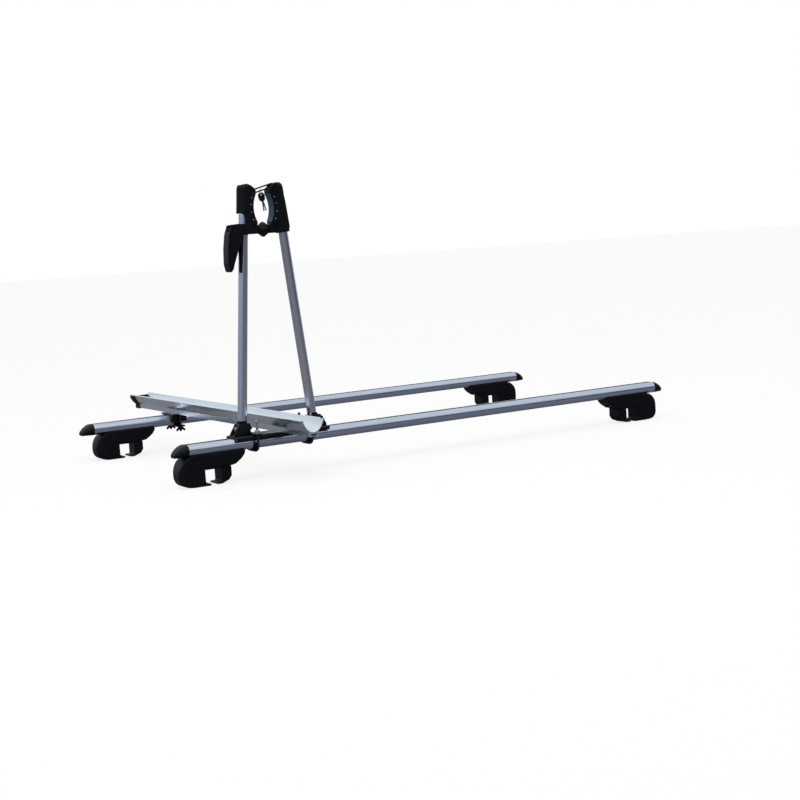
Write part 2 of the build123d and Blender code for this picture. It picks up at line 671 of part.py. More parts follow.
def tube_axis(side, height):
    """X of a tube's centre line at a height above the bar's centre."""
    return tube_x(side, bar_height(height))


def along_tube(height):
    """Distance along a tube from its pivot to a height above the bar's centre."""
    return bar_height(height) / cos(LEAN)


for side, name in ((LEFT, "left"), (RIGHT, "right")):
    with BuildPart() as tube:
        with BuildSketch(tube_plane(side, TUBE_START)):
            Circle(TUBE / 2)
            Circle(TUBE / 2 - TUBE_WALL, mode=Mode.SUBTRACT)
        extrude(amount=along_tube(TUBE_TOP) - TUBE_START)
        if side == LEFT:
            middle = tube_axis(side, LINK_HEIGHT)
            axis_x(
                middle - TUBE, middle + TUBE, ROD / 2 + GAP, FRONT_BAR_Y, BAR_Z + LINK_HEIGHT, Mode.SUBTRACT
            )
    save(tube, f"{name}_tube")

    foot_at = CARRIER_X + side * PIVOT_HALF
    pivot_hole = PIVOT_BOLT / 2 + (RUNNING if side == LEFT else GAP + RUNNING)
    with BuildPart() as tube_foot:
        axis_x(foot_at - FORK_WIDTH / 2, foot_at + FORK_WIDTH / 2, FORK_WIDTH / 2, FRONT_BAR_Y, PIVOT_Z)
        block(
            (foot_at - FORK_WIDTH / 2, foot_at + FORK_WIDTH / 2),
            (FRONT_BAR_Y - FORK_WIDTH / 2, FRONT_BAR_Y + FORK_WIDTH / 2),
            (PIVOT_Z, PIVOT_Z + TUBE_START - TUBE_WALL),
        )
        with BuildSketch(tube_plane(side, TUBE_START / 2)):
            Circle(TUBE / 2 - TUBE_WALL - RUNNING)
        extrude(amount=TUBE_START / 2 + TUBE)
        axis_x(foot_at - TUBE, foot_at + TUBE, pivot_hole, FRONT_BAR_Y, PIVOT_Z, Mode.SUBTRACT)
    save(tube_foot, f"{name}_tube_foot")

    grip_arc = ThreePointArc(
        jaw_point(side, "low"), jaw_point(side, "middle"), jaw_point(side, "high"), mode=Mode.PRIVATE
    )
    grip_centre, grip_radius = grip_arc.arc_center, grip_arc.radius
    sleeve_low = JAW_LOW + LEFT_SLEEVE_RISE if side == LEFT else JAW_LOW
    grip_band = (BAR_Z + JAW_LOW + GRIP_RISE + GRIP_TALL / 2, GRIP_TALL)
    screws = []
    for share in screw_shares:
        height = BAR_Z + JAW_LOW + (JAW_HIGH - JAW_LOW) * share
        rise = height - grip_centre.Y
        screws.append((grip_centre.X + side * ((grip_radius**2 - rise**2) ** (1 / 2) + SCREW_INSET), height))
    with BuildPart() as jaw:
        with BuildSketch(front_view(FRONT_BAR_Y)):
            with BuildLine():
                Polyline(
                    jaw_point(side, "high"), jaw_point(side, "tip"), jaw_point(side, "shoulder"),
                    (tube_axis(side, JAW_HIGH), BAR_Z + JAW_HIGH),
                    (tube_axis(side, JAW_LOW), BAR_Z + JAW_LOW),
                    jaw_point(side, "foot"), jaw_point(side, "link"), jaw_point(side, "low"),
                )
                ThreePointArc(jaw_point(side, "low"), jaw_point(side, "middle"), jaw_point(side, "high"))
            make_face()
        extrude(amount=JAW_THICK / 2, both=True)
        with BuildSketch(tube_plane(side, along_tube(sleeve_low))):
            Circle(SLEEVE / 2)
        extrude(amount=along_tube(TUBE_TOP) + SLEEVE_CAP - along_tube(sleeve_low))
        with BuildSketch(tube_plane(side, along_tube(JAW_LOW) - TUBE)):
            Circle(TUBE / 2 + RUNNING)
        extrude(amount=along_tube(TUBE_TOP) + GAP - along_tube(JAW_LOW) + TUBE, mode=Mode.SUBTRACT)
        with BuildSketch(front_view(FRONT_BAR_Y)):
            with Locations((grip_centre.X, grip_centre.Y)):
                Circle(grip_radius + GRIP_PAD - PAD_PROUD)
            with Locations((CARRIER_X + side * GRIP_HALF, grip_band[0])):
                Rectangle(GRIP_HALF, grip_band[1], mode=Mode.INTERSECT)
        extrude(amount=GRIP_PAD_WIDTH / 2, both=True, mode=Mode.SUBTRACT)
        for at in screws:
            axis_y(
                FRONT_BAR_Y - JAW_THICK, FRONT_BAR_Y - JAW_THICK / 2 + SCREW_LENGTH,
                JAW_SCREW / 2, *at, Mode.SUBTRACT,
            )
        block(
            link_ends(side), (FRONT_BAR_Y - LINK_DEEP, FRONT_BAR_Y + LINK_DEEP),
            (BAR_Z, link_z + LINK_TALL / 2),
            Mode.SUBTRACT,
        )
        if side == LEFT:
            axis_x(
                CARRIER_X - 2 * GRIP_HALF, CARRIER_X - GRIP_HALF, ROD / 2 + GAP, FRONT_BAR_Y,
                BAR_Z + LINK_HEIGHT, Mode.SUBTRACT,
            )
            block(
                (tube_axis(side, STRAP_LEFT[1]), CARRIER_X), strap_slot,
                (BAR_Z + STRAP_LEFT[1] - STRAP_TALL / 2 - 3 * STRAP_PLAY, BAR_Z + 2 * JAW_HIGH),
                Mode.SUBTRACT,
            )
            axis_y(
                FRONT_BAR_Y - JAW_THICK, FRONT_BAR_Y + JAW_THICK, STRAP_PIN / 2,
                *holder(*STRAP_LEFT), Mode.SUBTRACT,
            )
        else:
            axis_y(
                FRONT_BAR_Y - JAW_THICK, FRONT_BAR_Y - STRAP_THICK, LOCK / 2 + RUNNING, *lock_at,
                Mode.SUBTRACT,
            )
    if side == RIGHT:
        # The latch pocket is open on top and has two cheeks, each a piece of its own
        with BuildPart() as pocket_cheeks:
            add(jaw.part)
            block(
                (pocket_x[0], pocket_x[1] - RUNNING), (FRONT_BAR_Y - JAW_THICK, FRONT_BAR_Y + JAW_THICK),
                (pocket_z[0] + RUNNING, pocket_z[1]), Mode.INTERSECT,
            )
            block(pocket_x, strap_slot, pocket_z, Mode.SUBTRACT)
            block(
                (CARRIER_X, CARRIER_X + STRAP_RIGHT[0] + CATCH / 2 + 3 * STRAP_PLAY),
                (FRONT_BAR_Y - CATCH_NOTCH / 2, FRONT_BAR_Y + CATCH_NOTCH / 2),
                (BAR_Z + STRAP_RIGHT[1] - CATCH / 2 - 3 * STRAP_PLAY, pocket_z[1]), Mode.SUBTRACT,
            )
        with BuildPart() as jaw_with_pocket:
            add(jaw.part)
            block(
                pocket_x, (FRONT_BAR_Y - JAW_THICK, FRONT_BAR_Y + JAW_THICK), pocket_z, Mode.SUBTRACT
            )
            add(pocket_cheeks.part)
        jaw = jaw_with_pocket
    save(jaw, f"{name}_jaw")

    with BuildPart() as jaw_pad:
        with BuildSketch(front_view(FRONT_BAR_Y)):
            with Locations((grip_centre.X, grip_centre.Y)):
                Circle(grip_radius + GRIP_PAD - PAD_PROUD)
                Circle(grip_radius - PAD_PROUD, mode=Mode.SUBTRACT)
            with Locations((CARRIER_X + side * GRIP_HALF, grip_band[0])):
                Rectangle(GRIP_HALF, grip_band[1], mode=Mode.INTERSECT)
        extrude(amount=GRIP_PAD_WIDTH / 2, both=True)
    save(jaw_pad, f"{name}_jaw_pad")

    with BuildPart() as jaw_screws:
        for at in screws:
            axis_y(
                FRONT_BAR_Y - JAW_THICK / 2 - SCREW_HEAD_PROUD, FRONT_BAR_Y - JAW_THICK / 2 + SCREW_LENGTH,
                JAW_SCREW / 2, *at,
            )
            block(
                (at[0] - JAW_SCREW / 3, at[0] + JAW_SCREW / 3),
                (FRONT_BAR_Y - JAW_THICK, FRONT_BAR_Y - JAW_THICK / 2 + SCREW_HEAD_PROUD),
                (at[1] - JAW_SCREW / 8, at[1] + JAW_SCREW / 8), Mode.SUBTRACT,
            )
    save(jaw_screws, f"{name}_jaw_screws")

# Link between the jaws: sleeves, knob, draw rod with its barrel nut, and the cam seat on the left tube
KNOB_GAP = 1.0
BARREL_NUT = 10.0
NUT_PLAY = 1.5
nut_x = sum(link_ends(RIGHT)) / 2 + NUT_PLAY / 2
for side, name in ((LEFT, "left"), (RIGHT, "right")):
    ends = link_ends(side)
    bore = ROD / 2 + (GAP if side == LEFT else NUT_PLAY)
    with BuildPart() as link_sleeve:
        block(
            ends, (FRONT_BAR_Y - LINK_DEEP / 2, FRONT_BAR_Y + LINK_DEEP / 2),
            (link_z - LINK_TALL / 2, link_z + LINK_TALL / 2),
        )
        axis_x(ends[0] - OVERRUN, ends[1] + OVERRUN, bore, FRONT_BAR_Y, link_z, Mode.SUBTRACT)
        if side == RIGHT:
            axis_y(
                FRONT_BAR_Y - LINK_DEEP, FRONT_BAR_Y + LINK_DEEP,
                BARREL_NUT / 2 + NUT_PLAY, nut_x, link_z, Mode.SUBTRACT,
            )
    save(link_sleeve, f"{name}_link_sleeve")

with BuildPart() as adjusting_knob:
    axis_x(
        CARRIER_X - SLEEVE_INNER + KNOB_GAP, CARRIER_X + SLEEVE_INNER - KNOB_GAP,
        KNOB / 2, FRONT_BAR_Y, link_z,
    )
    rim = adjusting_knob.edges().filter_by(GeomType.CIRCLE)
    fillet(rim, KNOB / 10)
    axis_x(CARRIER_X - KNOB, CARRIER_X + KNOB, ROD / 2 + RUNNING, FRONT_BAR_Y, link_z, Mode.SUBTRACT)
save(adjusting_knob, "adjusting_knob")

pin_x = CARRIER_X - LEVER_X
EYE_WIDTH = 9.0
with BuildPart() as draw_rod:
    axis_x(pin_x, nut_x + BARREL_NUT / 2, ROD / 2, FRONT_BAR_Y, link_z)
    axis_y(FRONT_BAR_Y - EYE_WIDTH / 2, FRONT_BAR_Y + EYE_WIDTH / 2, EYE / 2, pin_x, link_z)
    axis_y(FRONT_BAR_Y - LINK_DEEP / 2, FRONT_BAR_Y + LINK_DEEP / 2, BARREL_NUT / 2, nut_x, link_z)
    axis_y(
        FRONT_BAR_Y - EYE_WIDTH, FRONT_BAR_Y + EYE_WIDTH, LEVER_PIN / 2, pin_x, link_z, Mode.SUBTRACT
    )
save(draw_rod, "draw_rod")

with BuildPart() as lever_pin:
    axis_y(FRONT_BAR_Y - LEVER_WIDTH / 2, FRONT_BAR_Y + LEVER_WIDTH / 2, LEVER_PIN / 2, pin_x, link_z)
save(lever_pin, "lever_pin")

SEAT_TALL = 21.0
CAM_NEAR = 13.1
SEAT_GAP = 0.4
seat_face = pin_x + CAM_NEAR + SEAT_GAP
seat_back = tube_axis(LEFT, LINK_HEIGHT) - TUBE / 4
with BuildPart() as cam_seat:
    block(
        (seat_face, seat_back), (FRONT_BAR_Y - LINK_DEEP / 2, FRONT_BAR_Y + LINK_DEEP / 2),
        (link_z - SEAT_TALL / 2, link_z + SEAT_TALL / 2),
    )
    with BuildSketch(tube_plane(LEFT, along_tube(LINK_HEIGHT) - SEAT_TALL)):
        Circle(TUBE / 2 + RUNNING)
    extrude(amount=2 * SEAT_TALL, mode=Mode.SUBTRACT)
    block(
        (seat_face - OVERRUN, seat_back),
        (FRONT_BAR_Y - EYE_WIDTH / 2 - GAP * 2, FRONT_BAR_Y + EYE_WIDTH / 2 + GAP * 2),
        (link_z - EYE / 2 - GAP * 2, link_z + EYE / 2 + GAP * 2), Mode.SUBTRACT,
    )
save(cam_seat, "cam_seat")

# Clamp lever: two cams that press on the seat, two cheeks astride the tube and a web along the outside
CAM_INNER = 10.2
CHEEK_INNER = 23.6
cheek_line = (
    (7, 15.5), (-7, 13.5), (-15, -7.5), (-20, -38.5), (-22, -72.5), (-19, -89.5), (-15, -93.5),
    (-9, -85.5), (-7, -77.5), (5, -47.5), (17, -25.5), (21, -7.5), (22, 9.5), (15, 15.5),
)
web_line = (
    (-13, -1.5), (-15, -7.5), (-20, -38.5), (-22, -72.5), (-19, -89.5), (-15, -93.5),
    (-12.4, -89.5), (-16, -87), (-18.8, -72.5), (-16.8, -38.5), (-11.8, -7.5), (-10.2, -1.5),
)


def lever_point(place):
    """Point of the lever's outline, given across and up from its pin."""
    return (pin_x + place[0], link_z + place[1])


cam_slope = CAM_LIFT / radians(LEVER_SWEEP)
cam_line = []
cam_step = LEVER_SWEEP / 12
for count in range(13):
    turn = radians(count * cam_step)
    height = CAM_NEAR - cam_slope * turn
    cam_line.append(
        (
            pin_x + height * cos(turn) + cam_slope * sin(turn),
            link_z + height * sin(turn) - cam_slope * cos(turn),
        )
    )
cam_back = (pin_x - EYE * 3 / 4, link_z + EYE / 2)
cam_low = (pin_x - EYE, link_z - EYE * 5 / 6)
cam_front = (pin_x + CAM_NEAR - RUNNING, link_z - EYE * 5 / 6)
with BuildPart() as clamp_lever:
    with BuildSketch(front_view(FRONT_BAR_Y)):
        with BuildLine():
            Spline(*cam_line)
            Polyline(cam_line[-1], cam_back, cam_low, cam_front, cam_line[0])
        make_face()
    extrude(amount=LEVER_WIDTH / 2, both=True)
    block(
        (pin_x - KNOB, pin_x + KNOB), (FRONT_BAR_Y - CAM_INNER / 2, FRONT_BAR_Y + CAM_INNER / 2),
        (link_z - KNOB, link_z + KNOB), Mode.SUBTRACT,
    )
    for across in (LEFT, RIGHT):
        wall_y = FRONT_BAR_Y + (LEVER_WIDTH / 2 if across == RIGHT else -CHEEK_INNER / 2)
        with BuildSketch(front_view(wall_y)):
            with BuildLine():
                Polyline(*[lever_point(place) for place in cheek_line], close=True)
            make_face()
        extrude(amount=(LEVER_WIDTH - CHEEK_INNER) / 2)
    with BuildSketch(front_view(FRONT_BAR_Y)):
        with BuildLine():
            Polyline(*[lever_point(place) for place in web_line], close=True)
        make_face()
    extrude(amount=LEVER_WIDTH / 2, both=True)
    axis_y(
        FRONT_BAR_Y - LEVER_WIDTH, FRONT_BAR_Y + LEVER_WIDTH,
        LEVER_PIN / 2 + RUNNING, pin_x, link_z, Mode.SUBTRACT,
    )
save(clamp_lever, "clamp_lever")

# Latch strap, its pin and catch, the lock barrel, and the keys on their ring
strap_turn = degrees(atan2(STRAP_RIGHT[1] - STRAP_LEFT[1], STRAP_RIGHT[0] - STRAP_LEFT[0]))
strap_span = ((STRAP_RIGHT[0] - STRAP_LEFT[0]) ** 2 + (STRAP_RIGHT[1] - STRAP_LEFT[1]) ** 2) ** (1 / 2)
strap_middle = holder((STRAP_LEFT[0] + STRAP_RIGHT[0]) / 2, (STRAP_LEFT[1] + STRAP_RIGHT[1]) / 2)
CATCH_WIDTH = 16.0
PIN_WIDTH = 18.0
with BuildPart() as latch_strap:
    with BuildSketch(front_view(FRONT_BAR_Y)):
        with Locations(Location((*strap_middle, 0), (0, 0, strap_turn))):
            SlotCenterToCenter(strap_span, STRAP_TALL)
            SlotOverall(strap_span - 2 * STRAP_TALL, STRAP_WINDOW, mode=Mode.SUBTRACT)
        with Locations(holder(*STRAP_LEFT)):
            Circle(STRAP_PIN / 2 + RUNNING, mode=Mode.SUBTRACT)
        with Locations(holder(*STRAP_RIGHT)):
            Circle(CATCH / 2, mode=Mode.SUBTRACT)
    extrude(amount=STRAP_THICK / 2, both=True)
save(latch_strap, "latch_strap")

with BuildPart() as latch_pin:
    axis_y(FRONT_BAR_Y - PIN_WIDTH / 2, FRONT_BAR_Y + PIN_WIDTH / 2, STRAP_PIN / 2, *holder(*STRAP_LEFT))
save(latch_pin, "latch_pin")

with BuildPart() as latch_catch:
    axis_y(FRONT_BAR_Y - CATCH_WIDTH / 2, FRONT_BAR_Y + CATCH_WIDTH / 2, CATCH / 2, *holder(*STRAP_RIGHT))
save(latch_catch, "latch_catch")

lock_x, lock_z = lock_at
with BuildPart() as lock_barrel:
    axis_y(
        FRONT_BAR_Y - JAW_THICK / 2 - 3 * STRAP_PLAY, FRONT_BAR_Y - STRAP_THICK - GAP,
        LOCK / 2, lock_x, lock_z,
    )
    block(
        (lock_x - KEY_BLADE_THICK / 2, lock_x + KEY_BLADE_THICK / 2), (
            FRONT_BAR_Y - JAW_THICK, FRONT_BAR_Y - JAW_THICK / 4
        ), (lock_z - KEY_BLADE_WIDTH, lock_z + KEY_BLADE_WIDTH), Mode.SUBTRACT,
    )
save(lock_barrel, "lock_barrel")

KEYS_X = 2.0
KEY_TURNS = {LEFT: 6.0, RIGHT: 17.0}
KEY_HOLE = 5.0
KEY_APART = 3.2
RING_PLAY = 0.8
share_across = (KEYS_X - STRAP_LEFT[0]) / (STRAP_RIGHT[0] - STRAP_LEFT[0])
strap_mid_z = STRAP_LEFT[1] + (STRAP_RIGHT[1] - STRAP_LEFT[1]) * share_across
bar_mid_z = BAR_Z + strap_mid_z - (STRAP_TALL + STRAP_WINDOW) / 4
ring_z = bar_mid_z + (STRAP_TALL - STRAP_WINDOW) / 4 + RING_PLAY + KEY_WIRE / 2 - KEY_RING / 2
hole_z = ring_z - KEY_RING / 2 - KEY_HOLE / 2 + 3 * KEY_WIRE / 2
with BuildPart() as key_bows:
    for across, turn in KEY_TURNS.items():
        key_plane = Plane(
            origin=(CARRIER_X + KEYS_X, FRONT_BAR_Y + across * KEY_APART / 2, hole_z),
            x_dir=(cos(radians(turn)), 0, sin(radians(turn))), z_dir=(0, -1, 0),
        )
        with BuildSketch(key_plane):
            with Locations((0, KEY_HOLE - KEY_BOW_HEIGHT / 2)):
                RectangleRounded(KEY_BOW_WIDTH, KEY_BOW_HEIGHT, KEY_BOW_WIDTH / 2 - 2 * RUNNING)
            Circle(KEY_HOLE / 2, mode=Mode.SUBTRACT)
        extrude(amount=KEY_BOW_THICK / 2, both=True)
save(key_bows, "key_bows")

with BuildPart() as key_blades:
    for across, turn in KEY_TURNS.items():
        key_plane = Plane(
            origin=(CARRIER_X + KEYS_X, FRONT_BAR_Y + across * KEY_APART / 2, hole_z),
            x_dir=(cos(radians(turn)), 0, sin(radians(turn))), z_dir=(0, -1, 0),
        )
        with BuildSketch(key_plane):
            with Locations((0, KEY_HOLE - KEY_BOW_HEIGHT - KEY_BLADE_LENGTH / 2)):
                Rectangle(KEY_BLADE_WIDTH, KEY_BLADE_LENGTH)
            with Locations((KEY_BLADE_WIDTH / 2, KEY_HOLE - KEY_BOW_HEIGHT - KEY_BLADE_LENGTH * 2 / 3)):
                Rectangle(KEY_BLADE_WIDTH / 3, KEY_BLADE_LENGTH / 3, mode=Mode.SUBTRACT)
        extrude(amount=KEY_BLADE_THICK / 2, both=True)
save(key_blades, "key_blades")

with BuildPart() as key_ring:
    with Locations(Location((CARRIER_X + KEYS_X, FRONT_BAR_Y, ring_z), (0, QUARTER_TURN, 0))):
        Torus(KEY_RING / 2, KEY_WIRE / 2)
save(key_ring, "key_ring")

# Wheel tray: rolled channel over a T-slot rail, its end cap and strap buttons
tray_shares = ((1.0, 1.0), (0.82, 0.57), (0.43, 0.143), (0.0, 0.0))
LIP_IN = 0.2
TRAY_BOTTOM = BASE_TOP
tray_top = TRAY_BOTTOM + TRAY_HEIGHT
slot_low = TRAY_BOTTOM + TRAY_SLOT_LIP
inner_low = slot_low + TRAY_SLOT_DEPTH + TRAY_SLOT_LIP + GAP
lip_x = TRAY_WIDTH / 2 - LIP_IN
lip_z = tray_top - TRAY_WALL / 2


def channel_line(half, low, high):
    """Points of a channel curve from the left lip over the bottom to the right lip."""
    left = [(CARRIER_X - half * a, low + (high - low) * b) for a, b in tray_shares]
    right = [(CARRIER_X + half * a, low + (high - low) * b) for a, b in reversed(tray_shares[:-1])]
    return left + right


outer_line = channel_line(TRAY_WIDTH / 2, inner_low - TRAY_WALL, tray_top)
inner_line = channel_line(TRAY_WIDTH / 2 - TRAY_WALL, inner_low, tray_top)
with BuildPart() as wheel_tray:
    with BuildSketch(front_view(TRAY_REAR)):
        with BuildLine():
            Spline(*outer_line)
            Line(outer_line[-1], outer_line[0])
        make_face()
        with Locations((CARRIER_X, (TRAY_BOTTOM + inner_low + TRAY_WALL) / 2)):
            Rectangle(RAIL_BAND, inner_low + TRAY_WALL - TRAY_BOTTOM)
        with BuildLine():
            Spline(*inner_line)
            Polyline(
                inner_line[-1], (inner_line[-1][0], tray_top + OVERRUN),
                (inner_line[0][0], tray_top + OVERRUN),
                inner_line[0],
            )
        make_face(mode=Mode.SUBTRACT)
        for side in (LEFT, RIGHT):
            with Locations((CARRIER_X + side * lip_x, lip_z)):
                Circle(TRAY_LIP / 2)
        with Locations((CARRIER_X, slot_low + TRAY_SLOT_DEPTH / 2)):
            Rectangle(TRAY_SLOT, TRAY_SLOT_DEPTH, mode=Mode.SUBTRACT)
        with Locations((CARRIER_X, TRAY_BOTTOM)):
            Rectangle(TRAY_MOUTH, 2 * TRAY_SLOT_LIP + GAP, mode=Mode.SUBTRACT)
    extrude(amount=TRAY_LENGTH)
save(wheel_tray, "wheel_tray")

cap_line = channel_line(
    TRAY_WIDTH / 2 + TRAY_CAP_WALL, inner_low - TRAY_WALL - TRAY_CAP_WALL, tray_top - TRAY_LIP
)
with BuildPart() as tray_end_cap:
    with BuildSketch(front_view(TRAY_REAR + TRAY_CAP_END)):
        with BuildLine():
            Spline(*cap_line)
            Line(cap_line[-1], cap_line[0])
        make_face()
        with Locations((CARRIER_X, (TRAY_BOTTOM - TRAY_CAP_WALL + inner_low) / 2)):
            Rectangle(RAIL_BAND + 2 * TRAY_CAP_WALL, inner_low - TRAY_BOTTOM + TRAY_CAP_WALL)
    extrude(amount=TRAY_CAP_END + TRAY_CAP_LENGTH)
    with BuildSketch(front_view(TRAY_REAR)):
        with BuildLine():
            Spline(*outer_line)
            Polyline(
                outer_line[-1], (outer_line[-1][0], tray_top + OVERRUN),
                (outer_line[0][0], tray_top + OVERRUN),
                outer_line[0],
            )
        make_face()
        with Locations((CARRIER_X, (TRAY_BOTTOM + inner_low + TRAY_WALL) / 2)):
            Rectangle(RAIL_BAND, inner_low + TRAY_WALL - TRAY_BOTTOM)
        for side in (LEFT, RIGHT):
            with Locations((CARRIER_X + side * lip_x, lip_z)):
                Circle(TRAY_LIP / 2 + RUNNING)
    extrude(amount=TRAY_CAP_LENGTH, mode=Mode.SUBTRACT)
save(tray_end_cap, "tray_end_cap")

BUTTON = 6.0
BUTTON_HEIGHT = 4.0
BUTTON_INSETS = (10.0, 125.0)
with BuildPart() as strap_buttons:
    for inset in BUTTON_INSETS:
        axis_z(
            lip_z + TRAY_LIP / 4, lip_z + TRAY_LIP / 2 + BUTTON_HEIGHT, BUTTON / 2,
            CARRIER_X + lip_x, TRAY_FRONT + inset,
        )
    axis_y(TRAY_FRONT, TRAY_REAR, TRAY_LIP / 2, CARRIER_X + lip_x, lip_z, Mode.SUBTRACT)
save(strap_buttons, "strap_buttons")

# Rear tray clamp: saddle, T-bolts, lower plate and wing nuts
clamp_ends = (CARRIER_X - CLAMP_WIDTH / 2, CARRIER_X + CLAMP_WIDTH / 2)
with BuildPart() as rear_clamp_saddle:
    for low, high in flange_ends:
        block(clamp_ends, (REAR_BAR_Y + low, REAR_BAR_Y + high), (BAR_TOP - CLAMP_LEG, BASE_TOP))
    block(clamp_ends, (REAR_BAR_Y - CLAMP_DEPTH / 2, REAR_BAR_Y + CLAMP_DEPTH / 2), (BAR_TOP, BASE_TOP))
    for across in (LEFT, RIGHT):
        bolt_y = REAR_BAR_Y + across * CLAMP_BOLT_SPREAD / 2
        axis_z(
            BAR_TOP - OVERRUN, BASE_TOP + OVERRUN, TRAY_BOLT / 2 + RUNNING, CARRIER_X, bolt_y, Mode.SUBTRACT
        )
save(rear_clamp_saddle, "rear_clamp_saddle")

# Clamp plates: the two bridge plates under the U-bolts' nuts and the lower plate of the rear clamp
with BuildPart() as clamp_plates:
    for side in (LEFT, RIGHT):
        at = CARRIER_X + side * U_BOLT_HALF
        reach = U_BOLT_SPREAD / 2 + U_BOLT_ROD
        block(
            (at - BRIDGE_WIDTH / 2, at + BRIDGE_WIDTH / 2), (FRONT_BAR_Y - reach, FRONT_BAR_Y + reach),
            (BASE_TOP, bridge_top),
        )
        for across in (LEFT, RIGHT):
            leg_y = FRONT_BAR_Y + across * U_BOLT_SPREAD / 2
            axis_z(
                BASE_TOP - OVERRUN, bridge_top + OVERRUN, U_BOLT_ROD / 2 + RUNNING, at, leg_y, Mode.SUBTRACT
            )
    block(
        (CARRIER_X - LOWER_PLATE / 2, CARRIER_X + LOWER_PLATE / 2),
        (REAR_BAR_Y - CLAMP_DEPTH / 2, REAR_BAR_Y + CLAMP_DEPTH / 2), (BAR_BOTTOM - BASE_STEEL, BAR_BOTTOM),
    )
    for across in (LEFT, RIGHT):
        bolt_y = REAR_BAR_Y + across * CLAMP_BOLT_SPREAD / 2
        axis_z(
            BAR_BOTTOM - 2 * BASE_STEEL, BAR_TOP, TRAY_BOLT / 2 + RUNNING, CARRIER_X, bolt_y, Mode.SUBTRACT
        )
save(clamp_plates, "clamp_plates")

BOLT_HEAD = 12.0
BOLT_HEAD_HEIGHT = 3.0
bolt_low = BAR_BOTTOM - BASE_STEEL - WING_HEIGHT
with BuildPart() as tray_bolts:
    for side in (LEFT, RIGHT):
        stud_y = FRONT_BAR_Y + side * BASE_WIDTH / 4
        bolt_y = REAR_BAR_Y + side * CLAMP_BOLT_SPREAD / 2
        for low, at_y in ((BAR_TOP + GAP, stud_y), (bolt_low, bolt_y)):
            axis_z(low, slot_low + BOLT_HEAD_HEIGHT, TRAY_BOLT / 2, CARRIER_X, at_y)
            block(
                (CARRIER_X - BOLT_HEAD / 2, CARRIER_X + BOLT_HEAD / 2),
                (at_y - BOLT_HEAD / 2, at_y + BOLT_HEAD / 2), (slot_low, slot_low + BOLT_HEAD_HEIGHT),
            )
save(tray_bolts, "tray_bolts")

WING_HUB = 11.0
WING_THICK = 2.5
wing_shares = ((0.0, 0.55), (0.5, 0.75), (0.8, 1.0), (1.0, 0.95), (0.95, 0.55), (0.5, 0.1), (0.0, 0.1))
wing_top = BAR_BOTTOM - BASE_STEEL - RUNNING
for name, across in (("front", LEFT), ("rear", RIGHT)):
    bolt_y = REAR_BAR_Y + across * CLAMP_BOLT_SPREAD / 2
    with BuildPart() as wing_nut:
        axis_z(wing_top - WING_HEIGHT * 2 / 3, wing_top, WING_HUB / 2, CARRIER_X, bolt_y)
        for side in (LEFT, RIGHT):
            with BuildSketch(front_view(bolt_y + WING_THICK / 2)):
                with BuildLine():
                    Polyline(
                        *[
                            (CARRIER_X + side * WING_SPAN / 2 * a, wing_top - WING_HEIGHT * b)
                            for a, b in wing_shares
                        ], close=True,
                    )
                make_face()
            extrude(amount=WING_THICK)
        axis_z(
            wing_top - 2 * WING_HEIGHT, wing_top + OVERRUN, TRAY_BOLT / 2 + RUNNING, CARRIER_X, bolt_y,
            Mode.SUBTRACT,
        )
    save(wing_nut, f"{name}_wing_nut")
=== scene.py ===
# %% [markdown]
# A roof mounted bike carrier on its two crossbars. The measured model comes in as a fixed frame, in metres:
# +X runs along the crossbars, +Y from the front bar to the rear bar, +Z up, and the feet stand on Z = 0.
# This lesson gives every part its surface and puts finer shapes where the plain solids are too simple.

# %% Load the frame
import json
from math import asin, cos, pi, radians, sin

import bmesh
import bpy
from mathutils import Matrix, Vector


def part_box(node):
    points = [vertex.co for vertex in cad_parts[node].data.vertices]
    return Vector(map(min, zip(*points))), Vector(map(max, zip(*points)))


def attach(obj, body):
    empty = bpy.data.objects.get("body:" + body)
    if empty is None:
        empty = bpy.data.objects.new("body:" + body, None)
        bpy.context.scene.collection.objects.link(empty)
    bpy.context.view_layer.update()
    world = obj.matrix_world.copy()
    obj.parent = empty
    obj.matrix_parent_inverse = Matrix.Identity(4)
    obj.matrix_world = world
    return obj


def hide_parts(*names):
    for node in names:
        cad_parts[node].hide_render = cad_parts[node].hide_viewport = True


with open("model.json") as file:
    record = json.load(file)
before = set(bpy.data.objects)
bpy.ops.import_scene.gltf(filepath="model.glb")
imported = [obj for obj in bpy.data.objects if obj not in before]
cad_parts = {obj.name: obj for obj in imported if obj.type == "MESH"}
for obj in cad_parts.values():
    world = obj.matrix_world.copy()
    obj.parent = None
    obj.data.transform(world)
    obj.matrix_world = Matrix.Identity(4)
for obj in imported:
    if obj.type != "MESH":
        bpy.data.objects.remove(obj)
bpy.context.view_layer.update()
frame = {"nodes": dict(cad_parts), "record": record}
nodes = frame["nodes"]
scene = bpy.context.scene
scene.view_settings.view_transform = "Standard"

# %% [markdown]
# The camera stands low, in front of the left end of the bars. Its place and turn were fitted to fourteen
# points of the photograph, so the bars, tubes and tray fall where they do in the picture. The lens is in
# millimetres on a 36 mm sensor.

